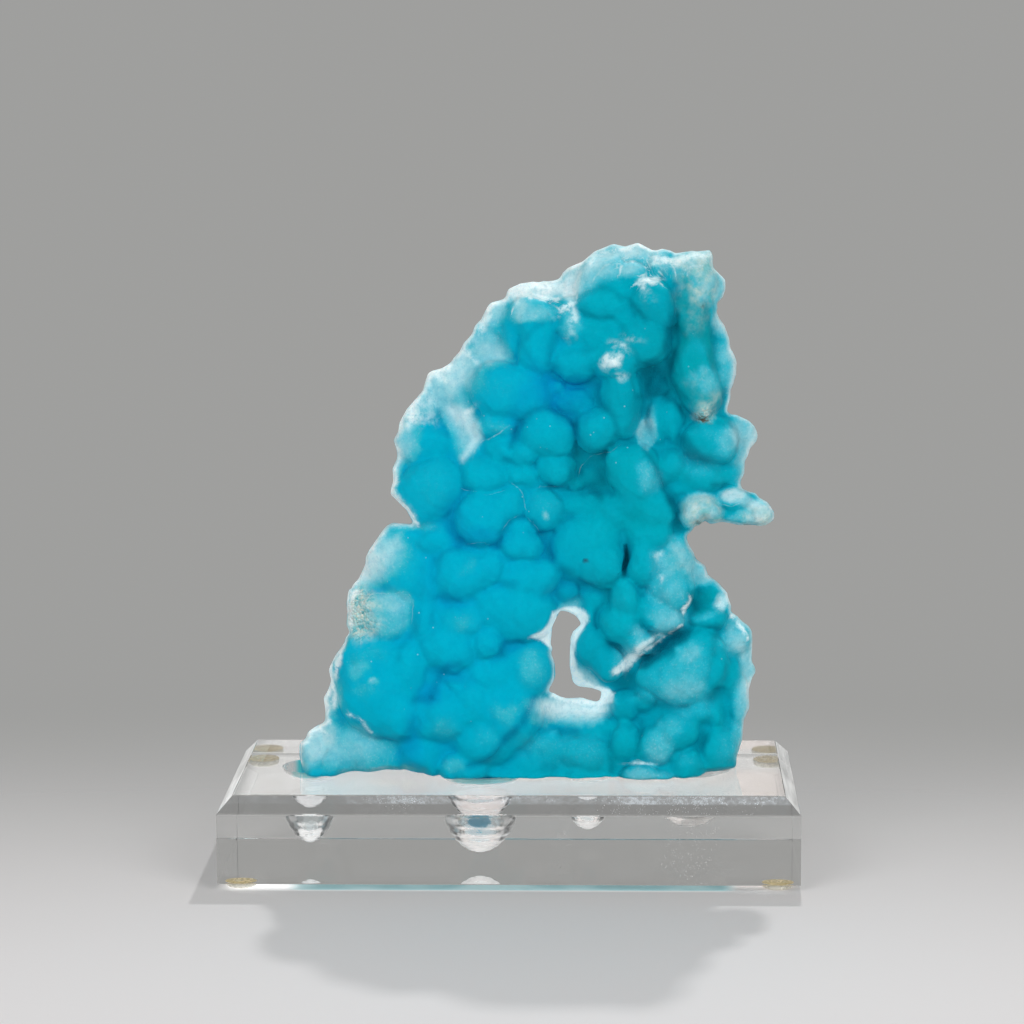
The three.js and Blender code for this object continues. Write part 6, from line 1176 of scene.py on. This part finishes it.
    # painted glow on the frosted, white and pale parts, standing in for light coming through them from behind
    n["Emission Color"] = (0.80, 0.96, 1.0, 1)
    n["Emission Strength"] = n.math("ADD", n.math("MULTIPLY", fr, 0.13), n.math("MULTIPLY", pale, 0.03))
    n.bsdf.inputs["Subsurface Weight"].default_value = 0.2
    n.bsdf.inputs["Subsurface Radius"].default_value = (0.3, 1.0, 1.2)
    n.bsdf.inputs["Subsurface Scale"].default_value = 0.0016
    b = n.bump(dust, 0.10, 0.0002)
    b = n.bump(fine, 0.22, 0.0006, b)
    b = n.bump(grit, n.math("MULTIPLY", n.math("MAXIMUM", frost_and_rim_light, beige), 0.7, clamp=True), 0.0010, b)
    b = n.bump(n.math("SUBTRACT", 1.0, cell.outputs["Distance"]), grainy, 0.0008, b)
    n["Normal"] = b
    return n.mat


stone.data.materials.clear()
stone.data.materials.append(hemimorphite_material())

# ------------------------------------------------------------------ the clear block
def grid_box(name):
    """The bevelled block as a closed mesh, before its edges are eased and its pockets milled."""
    w, d = BASE_W / 2, BASE_D / 2
    z0_, z1_, z2_ = FOOT_T, TOP - BEVEL_V, TOP
    ring = lambda hw, hd, z: [(-hw, -hd, z), (hw, -hd, z), (hw, hd, z), (-hw, hd, z)]
    v = np.array(ring(w, d, z0_) + ring(w, d, z1_) + ring(w - BEVEL_H, d - BEVEL_H, z2_), float) / 1000
    f = [(3, 2, 1, 0), (8, 9, 10, 11)]
    for k in (0, 4):
        for i in range(4):
            j = (i + 1) % 4
            f.append((k + i, k + j, k + 4 + j, k + 4 + i))
    me = mesh_from(name, v, np.array(f))
    me.polygons.foreach_set("use_smooth", np.zeros(len(f), bool))
    return me


def pocket_cutter(i, spec):
    """A bowl cut with a ball mill in steps: rings of shallow scallops."""
    x, y, a, b, t = spec
    seg, rings = 72, max(5, int(round(t / 2.4)))
    prof = [(1.02, 0.6)]
    steps = 5
    for r in range(rings):
        for s in range(steps):
            u = (r + s / steps) / rings
            th = u * math.pi / 2
            rad, dep = math.cos(th), math.sin(th)
            sc = 1 + 0.012 * math.sin(math.pi * s / steps)
            prof.append((rad * sc, -t * dep * sc))
    prof = [(p, q) for p, q in prof if p > 0.02]
    v, f = [], []
    for (p, q) in prof:
        for k in range(seg):
            an = 2 * math.pi * k / seg
            wob = 1 + 0.012 * math.sin(3 * an + i)
            v.append((x + a * p * wob * math.cos(an), y + b * p * wob * math.sin(an), TOP + q))
    for r in range(len(prof) - 1):
        for k in range(seg):
            j = (k + 1) % seg
            f.append((r * seg + j, r * seg + k, (r + 1) * seg + k, (r + 1) * seg + j))
    v.append((x, y, TOP + 0.6))
    v.append((x, y, TOP - t))
    tris = [(len(v) - 2, k, (k + 1) % seg) for k in range(seg)]
    last = (len(prof) - 1) * seg
    tris += [(len(v) - 1, last + (k + 1) % seg, last + k) for k in range(seg)]
    me = bpy.data.meshes.new("cutter")
    me.from_pydata([(p / 1000, q / 1000, r / 1000) for p, q, r in v], [], f + tris)
    me.update()
    return link("cutter_%d" % i, me)


block = link("clear_block", grid_box("clear_block"))
m = block.modifiers.new("ease", "BEVEL")
ease = block.data.attributes.new("bevel_weight_edge", "FLOAT", "EDGE")
for e in block.data.edges:
    a, b = (block.data.vertices[i].co for i in e.vertices)
    ease.data[e.index].value = 0.3 if abs(a.z - b.z) > 0.001 else 1.0
m.width, m.segments, m.limit_method = 0.00035, 2, "WEIGHT"
m.harden_normals = False
applied(block)
cutters = [pocket_cutter(i, p) for i, p in enumerate(POCKETS)]
for c in cutters:
    m = block.modifiers.new("mill", "BOOLEAN")
    m.operation, m.object, m.solver = "DIFFERENCE", c, "EXACT"
applied(block)
for c in cutters:
    bpy.data.objects.remove(c)


def clear_material(name, tint, dust, haze, upper_haze=0.0):
    """Polished acrylic with a few fine scratches."""
    n = Nodes(name)
    n["Base Color"] = n.mix(n.noise(30, 2), tint + (1,), tuple(c * 0.985 for c in tint) + (1,))
    scratch = n.map(n.math("ABSOLUTE", n.math("SUBTRACT", n.noise(38, 3, 0.5), 0.5)), 0.0, 0.0035, 1.0, 0.0)
    spots = n.map(n.voronoi(1500), 0.16, 0.30, 1.0, 0.0)
    where = n.map(n.noise(26, 3, 0.6), 0.5, 0.68, 0.0, 1.0)
    marks = n.math("MULTIPLY", n.math("ADD", n.math("MULTIPLY", scratch, 0.22), n.math("MULTIPLY", spots, haze)), where, clamp=True)
    n["Roughness"] = n.map(marks, 0.0, 1.0, dust, 0.5)
    if upper_haze:                                           # paler and hazier above a line near its upper edge
        sep = n.new("ShaderNodeSeparateXYZ")
        n.put(sep.inputs[0], n.pos())
        upper_band = n.math("ADD", n.map(n.noise(48, 4, 0.65), 0.42, 0.66, 0.0, 0.6), n.map(sep.outputs["X"], -0.01, 0.05, 0.22, 0.62))
        upper_band = n.math("MULTIPLY", upper_band, n.map(n.noise(900, 3, 0.7), 0.35, 0.65, 0.5, 1.1))
        upper_band = n.math("MULTIPLY", upper_band, n.map(sep.outputs["Z"], 0.0245, 0.0250, 0.0, 1.0), clamp=True)
        marks = n.math("ADD", marks, n.math("MULTIPLY", upper_band, upper_haze), clamp=True)
        n["Base Color"] = n.mix(upper_band, tint + (1,), (0.84, 0.90, 0.96, 1))
    n["Transmission Weight"] = n.map(marks, 0.0, 1.0, 1.0, 0.35)
    n.bsdf.inputs["IOR"].default_value = 1.49
    return n.mat


def milled_material():
    """Frosted by the cutter: whitest at the bottom of each pocket, where a painted glow also stands in for the light
    the frosted faces scatter.
    """
    n = Nodes("milled_acrylic")
    g = n.noise(900, 3, 0.6)
    sep = n.new("ShaderNodeSeparateXYZ")
    n.put(sep.inputs[0], n.pos())
    geo = n.new("ShaderNodeNewGeometry")
    facing = n.new("ShaderNodeSeparateXYZ")
    n.put(facing.inputs[0], geo.outputs["Normal"])
    up = n.math("ABSOLUTE", facing.outputs["Z"])
    flatness = n.math("ADD", up, n.math("MULTIPLY", n.math("SUBTRACT", n.noise(160, 3), 0.5), 0.3))
    low = n.mixf(n.map(sep.outputs["X"], -0.048, -0.042, 0.0, 1.0), n.map(flatness, 0.66, 0.90, 0.0, 0.85), n.map(flatness, 0.42, 0.74, 0.0, 1.0))
    near = None
    for x, half in ((-0.0600, 0.0052), (-0.0075, 0.0128)):
        t = n.map(n.math("ABSOLUTE", n.math("SUBTRACT", sep.outputs["X"], x)), half, half * 0.6, 0.0, 1.0)
        near = t if near is None else n.math("MAXIMUM", near, t)
    near = n.math("MULTIPLY", near, n.map(n.math("ADD", sep.outputs["Z"], n.math("MULTIPLY", n.math("SUBTRACT", g, 0.5), 0.004)), 0.0165, 0.0195, 0.0, 1.0), clamp=True)
    near = n.math("MULTIPLY", near, n.map(low, 0.0, 0.6, 1.0, 0.0))
    low = n.math("MULTIPLY", low, n.map(sep.outputs["X"], 0.032, 0.036, 1.0, 0.35))
    acrylic = n.mix(g, (0.90, 0.93, 0.93, 1), (0.98, 0.99, 0.99, 1))
    acrylic = n.mix(n.map(sep.outputs["X"], 0.032, 0.036, 0.0, 1.0), acrylic, n.mix(g, (0.46, 0.47, 0.46, 1), (0.64, 0.65, 0.64, 1)))
    n["Base Color"] = n.mix(near, acrylic, (0.06, 0.54, 0.58, 1))
    n["Roughness"] = n.math("ADD", n.map(g, 0.3, 0.7, 0.06, 0.16), n.math("MULTIPLY", low, 0.2))
    rough = n.math("MULTIPLY", n.map(sep.outputs["X"], 0.032, 0.036, 0.0, 1.0), n.map(n.noise(210, 4, 0.65), 0.36, 0.60, 0.15, 0.62))
    through = n.math("SUBTRACT", n.map(low, 0.0, 1.0, 0.84, 0.3), n.math("MULTIPLY", near, 0.6))
    n["Transmission Weight"] = n.math("SUBTRACT", through, rough, clamp=True)
    n.bsdf.inputs["IOR"].default_value = 1.49
    # painted glow, standing in for light scattered in the frosted acrylic: white, strongest on the flat bottoms, and
    # teal near the top of the first two pockets
    n["Emission Color"] = n.mix(near, (0.92, 0.97, 1.0, 1), (0.05, 0.49, 0.49, 1))
    n["Emission Strength"] = n.math("ADD", n.map(low, 0.0, 1.0, 0.05, 0.28), n.math("MULTIPLY", near, 0.20))
    n["Normal"] = n.bump(g, 0.35, 0.0003)
    return n.mat


def end_material():
    """The bevels of the block's ends: polished less finely, with drawn streaks along them."""
    n = Nodes("clear_end")
    sep = n.new("ShaderNodeSeparateXYZ")
    n.put(sep.inputs[0], n.pos())
    long_ = n.new("ShaderNodeCombineXYZ")
    n.put(long_.inputs[0], n.math("MULTIPLY", sep.outputs["Z"], 14.0))
    n.put(long_.inputs[1], n.math("MULTIPLY", sep.outputs["Y"], 0.8))
    streak = n.noise(30, 3, 0.6, vector=long_.outputs[0])
    haze = n.map(streak, 0.36, 0.64, 0.45, 0.75)
    n["Base Color"] = n.mix(streak, (0.97, 0.97, 0.96, 1), (0.92, 0.93, 0.93, 1))
    n["Roughness"] = n.map(streak, 0.3, 0.7, 0.04, 0.16)
    n["Transmission Weight"] = n.math("SUBTRACT", 1.0, haze)
    n.bsdf.inputs["IOR"].default_value = 1.49
    # painted glow in the hazy end bevels, standing in for the light they scatter, stronger on the left end
    n["Emission Color"] = (1.0, 1.0, 0.99, 1)
    n["Emission Strength"] = n.math("MULTIPLY", haze, n.map(sep.outputs["X"], -0.01, 0.01, 0.50, 0.24))
    return n.mat


block.data.materials.clear()
block.data.materials.append(clear_material("clear_acrylic", (0.925, 0.925, 0.915), 0.0, 0.5))
block.data.materials.append(milled_material())
# the front bevel's dark grey tint is painted shade
block.data.materials.append(clear_material("clear_bevel", (0.575, 0.58, 0.585), 0.03, 0.9, 0.6))
block.data.materials.append(end_material())
for p in block.data.polygons:
    c = p.center * 1000
    inside = any(((c.x - x) / (a * 1.06)) ** 2 + ((c.y - y) / (b * 1.06)) ** 2 < 1 and TOP - t - 0.4 < c.z < TOP - 0.02 for x, y, a, b, t in POCKETS)
    front_bevel = abs(p.normal.y + 0.73) < 0.1 and abs(p.normal.z - 0.68) < 0.1
    end_bevel = abs(abs(p.normal.x) - 0.73) < 0.1 and abs(p.normal.z - 0.68) < 0.1
    p.material_index = 1 if inside else 2 if front_bevel else 3 if end_bevel else 0
    p.use_smooth = inside

# ------------------------------------------------------------------ bumper feet
def bumper_material():
    n = Nodes("bumper_urethane")
    sep = n.new("ShaderNodeSeparateXYZ")
    n.put(sep.inputs[0], n.pos())
    film = n.map(sep.outputs["Z"], FOOT_T / 1000 - 0.00012, FOOT_T / 1000 - 0.00009, 0.0, 1.0)
    film = n.math("MULTIPLY", film, n.map(n.noise(420, 4, 0.7), 0.3, 0.5, 0.55, 1.0), clamp=True)
    n["Base Color"] = n.mix(film, (0.93, 0.93, 0.88, 1), n.mix(n.noise(240, 3), srgb(222, 206, 166), srgb(200, 184, 140)))
    n["Roughness"] = n.map(n.noise(700, 3), 0.3, 0.7, 0.18, 0.34)
    n["Transmission Weight"] = n.map(film, 0.0, 1.0, 0.25, 0.35)
    n.bsdf.inputs["IOR"].default_value = 1.5
    # painted glow: light coming through the clear block onto the feet, strongest on their top faces
    n["Emission Color"] = srgb(224, 202, 146)
    n["Emission Strength"] = n.map(film, 0.0, 1.0, 0.04, 0.27)
    n["Normal"] = n.bump(n.noise(500, 3), 0.15, 0.0003)
    return n.mat


bumper = bumper_material()
feet = []
for name, sx, sy in (("front_left", -1, -1), ("front_right", 1, -1), ("back_left", -1, 1), ("back_right", 1, 1)):
    top = FOOT_T + (0.02 if sy < 0 else -0.08)         # the front two are stuck fast, the back two have let go a little
    prof = [(0.0, 0.12), (2.6, 0.1), (3.6, 0.0), (4.1, 0.08), (4.42, 0.32), (4.58, 0.7), (4.6, 1.1), (4.58, 1.66), (4.5, top), (0.0, top)]
    seg = 64
    v, f = [], []
    cx, cy = sx * (BASE_W / 2 - FOOT_INSET), sy * (BASE_D / 2 - FOOT_INSET)
    for (r, z) in prof[1:-1]:
        for k in range(seg):
            an = 2 * math.pi * k / seg
            v.append((cx + r * math.cos(an), cy + r * math.sin(an), z))
    for r in range(len(prof) - 3):
        for k in range(seg):
            j = (k + 1) % seg
            f.append((r * seg + k, r * seg + j, (r + 1) * seg + j, (r + 1) * seg + k))
    v += [(cx, cy, prof[0][1]), (cx, cy, prof[-1][1])]
    last = (len(prof) - 3) * seg
    f += [(len(v) - 2, (k + 1) % seg, k) for k in range(seg)]
    f += [(len(v) - 1, last + k, last + (k + 1) % seg) for k in range(seg)]
    me = bpy.data.meshes.new("bumper_" + name)
    me.from_pydata([(p / 1000, q / 1000, r / 1000) for p, q, r in v], [], f)
    me.update()
    me.polygons.foreach_set("use_smooth", np.ones(len(f), bool))
    ob = link("bumper_" + name, me)
    ob.data.materials.append(bumper)
    feet.append((ob, "foot_" + name))

# ------------------------------------------------------------------ onto the frame
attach(stone, "root")
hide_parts("hemimorphite")
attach(block, "root")
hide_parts("acrylic_base")
for ob, node in feet:
    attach(ob, "root")
    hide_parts(node)

# ------------------------------------------------------------------ a pale floor that fades into the grey of the studio
GREY = 0.347


def floor():
    rings, seg = [0.0, 0.15, 0.3, 0.45, 0.6, 0.8, 1.1], 96
    v, f = [(0.0, -0.1, 0.0)], []
    for r in rings[1:]:
        for k in range(seg):
            an = 2 * math.pi * k / seg
            v.append((1.5 * r * math.cos(an), -0.1 + 1.2 * r * math.sin(an), 0.0))
    for k in range(seg):
        f.append((0, 1 + k, 1 + (k + 1) % seg))
    for q in range(len(rings) - 2):
        for k in range(seg):
            j = (k + 1) % seg
            f.append((1 + q * seg + k, 1 + (q + 1) * seg + k, 1 + (q + 1) * seg + j, 1 + q * seg + j))
    me = bpy.data.meshes.new("studio_floor")
    me.from_pydata(v, [], f)
    me.update()
    ob = link("studio_floor", me)
    n = Nodes("studio_floor")
    sep = n.new("ShaderNodeSeparateXYZ")
    n.put(sep.inputs[0], n.pos())
    x = n.math("MULTIPLY", sep.outputs["X"], 0.6)
    y = n.math("ADD", sep.outputs["Y"], 0.35)
    r = n.math("SQRT", n.math("ADD", n.math("MULTIPLY", x, x), n.math("MULTIPLY", y, y)))
    plain = n.mix(n.map(n.noise(900, 3), 0.3, 0.7, 0.0, 0.03), (0.785, 0.767, 0.772, 1), (0.69, 0.68, 0.68, 1))
    n["Roughness"] = 0.6
    n.bsdf.inputs["Specular IOR Level"].default_value = 0.12
    n["Alpha"] = n.math("MULTIPLY", n.map(r, 0.20, 0.565, 1.0, 0.0), n.map(sep.outputs["Y"], -0.50, -0.19, 0.0, 1.0))
    # light gathered by the clear block falls on the floor below it
    bx = n.map(n.math("ABSOLUTE", sep.outputs["X"]), BASE_W / 2000 - 0.006, BASE_W / 2000 + 0.001, 1.0, 0.0)
    by = n.math("MULTIPLY", n.map(sep.outputs["Y"], -BASE_D / 2000 - 0.001, -BASE_D / 2000 + 0.005, 0.0, 1.0), n.map(sep.outputs["Y"], 0.0385, 0.0470, 1.0, 0.0))
    # painted light: a teal strip on the floor just in front of the block
    fx = n.math("MULTIPLY", n.map(sep.outputs["X"], -0.064, -0.058, 0.0, 1.0), n.map(sep.outputs["X"], 0.060, 0.066, 1.0, 0.0))
    fy = n.math("MULTIPLY", n.map(sep.outputs["Y"], -0.0378, -0.0362, 0.0, 1.0), n.map(sep.outputs["Y"], -0.032, -0.029, 1.0, 0.0))
    cast = n.math("MULTIPLY", n.math("MULTIPLY", fx, fy), n.map(n.noise(40, 2), 0.35, 0.6, 0.75, 1.0), clamp=True)
    n["Base Color"] = n.mix(cast, plain, (0.36, 0.62, 0.66, 1))
    warm = n.math("MULTIPLY", n.map(sep.outputs["X"], -0.052, -0.034, 0.0, 1.0), n.map(sep.outputs["Y"], 0.030, 0.020, 0.0, 1.0))
    n["Emission Color"] = n.mix(cast, n.mix(warm, (1.20, 1.19, 1.19, 1), (1.26, 1.12, 1.07, 1)), (0.36, 0.80, 0.84, 1))
    # painted light: the floor under the block and just behind it glows as emission
    glow = n.math("MULTIPLY", n.math("MULTIPLY", bx, by), n.map(sep.outputs["Y"], -0.022, 0.030, 0.85, 1.12))
    corner = n.math("MULTIPLY", n.map(sep.outputs["X"], 0.058, 0.066, 0.0, 0.85), n.map(sep.outputs["Y"], -0.036, -0.028, 1.0, 0.0))
    glow = n.math("MULTIPLY", glow, n.math("SUBTRACT", 1.0, corner))
    fore = n.math("MULTIPLY", n.map(sep.outputs["X"], 0.035, 0.060, 0.17, 0.0), n.map(sep.outputs["Y"], -0.020, -0.012, 1.0, 0.0))
    glow = n.math("MULTIPLY", glow, n.math("ADD", 1.0, fore))
    n["Emission Strength"] = n.mixf(cast, glow, 0.24)
    me.materials.append(n.mat)


floor()

# ------------------------------------------------------------------ light
def softbox(name, at, aim, sx, sy, power, color=(1, 1, 1)):
    l = bpy.data.lights.new(name, "AREA")
    l.shape, l.size, l.size_y, l.energy, l.color = "RECTANGLE", sx, sy, power, color
    ob = bpy.data.objects.new(name, l)
    ob.location = at
    ob.rotation_euler = (Vector(aim) - Vector(at)).to_track_quat("-Z", "Y").to_euler()
    bpy.context.scene.collection.objects.link(ob)
    return ob


softbox("behind_above", (0.099, 0.35, 0.636), (0.0, -0.03, 0.02), 0.026, 0.026, 1.6)
for box in (softbox("front_left", (-0.75, -1.05, 0.75), (0.0, 0.0, 0.09), 0.8, 0.8, 8.2),
            softbox("front_right", (0.80, -1.00, 0.65), (0.0, 0.0, 0.09), 0.8, 0.8, 7.8)):
    box.visible_glossy = False                          # soft fill only, with no glare in the polished block
    box.visible_transmission = False

world = bpy.data.worlds.new("studio")
bpy.context.scene.world = world
world.use_nodes = True
bg = next(n for n in world.node_tree.nodes if n.type == "BACKGROUND")
bg.inputs[0].default_value = (1.0, 1.0, 0.98, 1)
bg.inputs[1].default_value = GREY

# ------------------------------------------------------------------ camera, at the photograph's angle
yaw, pitch, roll = (math.radians(a) for a in (-1.934, 9.556, -0.353))
fwd = Vector((math.sin(yaw) * math.cos(pitch), math.cos(yaw) * math.cos(pitch), -math.sin(pitch)))
r0 = Vector((math.cos(yaw), -math.sin(yaw), 0))
u0 = r0.cross(fwd)
right = r0 * math.cos(roll) + u0 * math.sin(roll)
up = u0 * math.cos(roll) - r0 * math.sin(roll)
eye = Vector(APEX) / 1000
cam = bpy.data.cameras.new("camera")
cam.sensor_width, cam.lens = 36.0, 36.0 * 3361.7 / 1024
cam.clip_start, cam.clip_end = 0.01, 20
camera = bpy.data.objects.new("camera", cam)
bpy.context.scene.collection.objects.link(camera)
camera.matrix_world = Matrix((
    (right.x, up.x, -fwd.x, eye.x), (right.y, up.y, -fwd.y, eye.y), (right.z, up.z, -fwd.z, eye.z), (0, 0, 0, 1)))
bpy.context.scene.camera = camera
bpy.context.scene.view_settings.view_transform = "Standard"
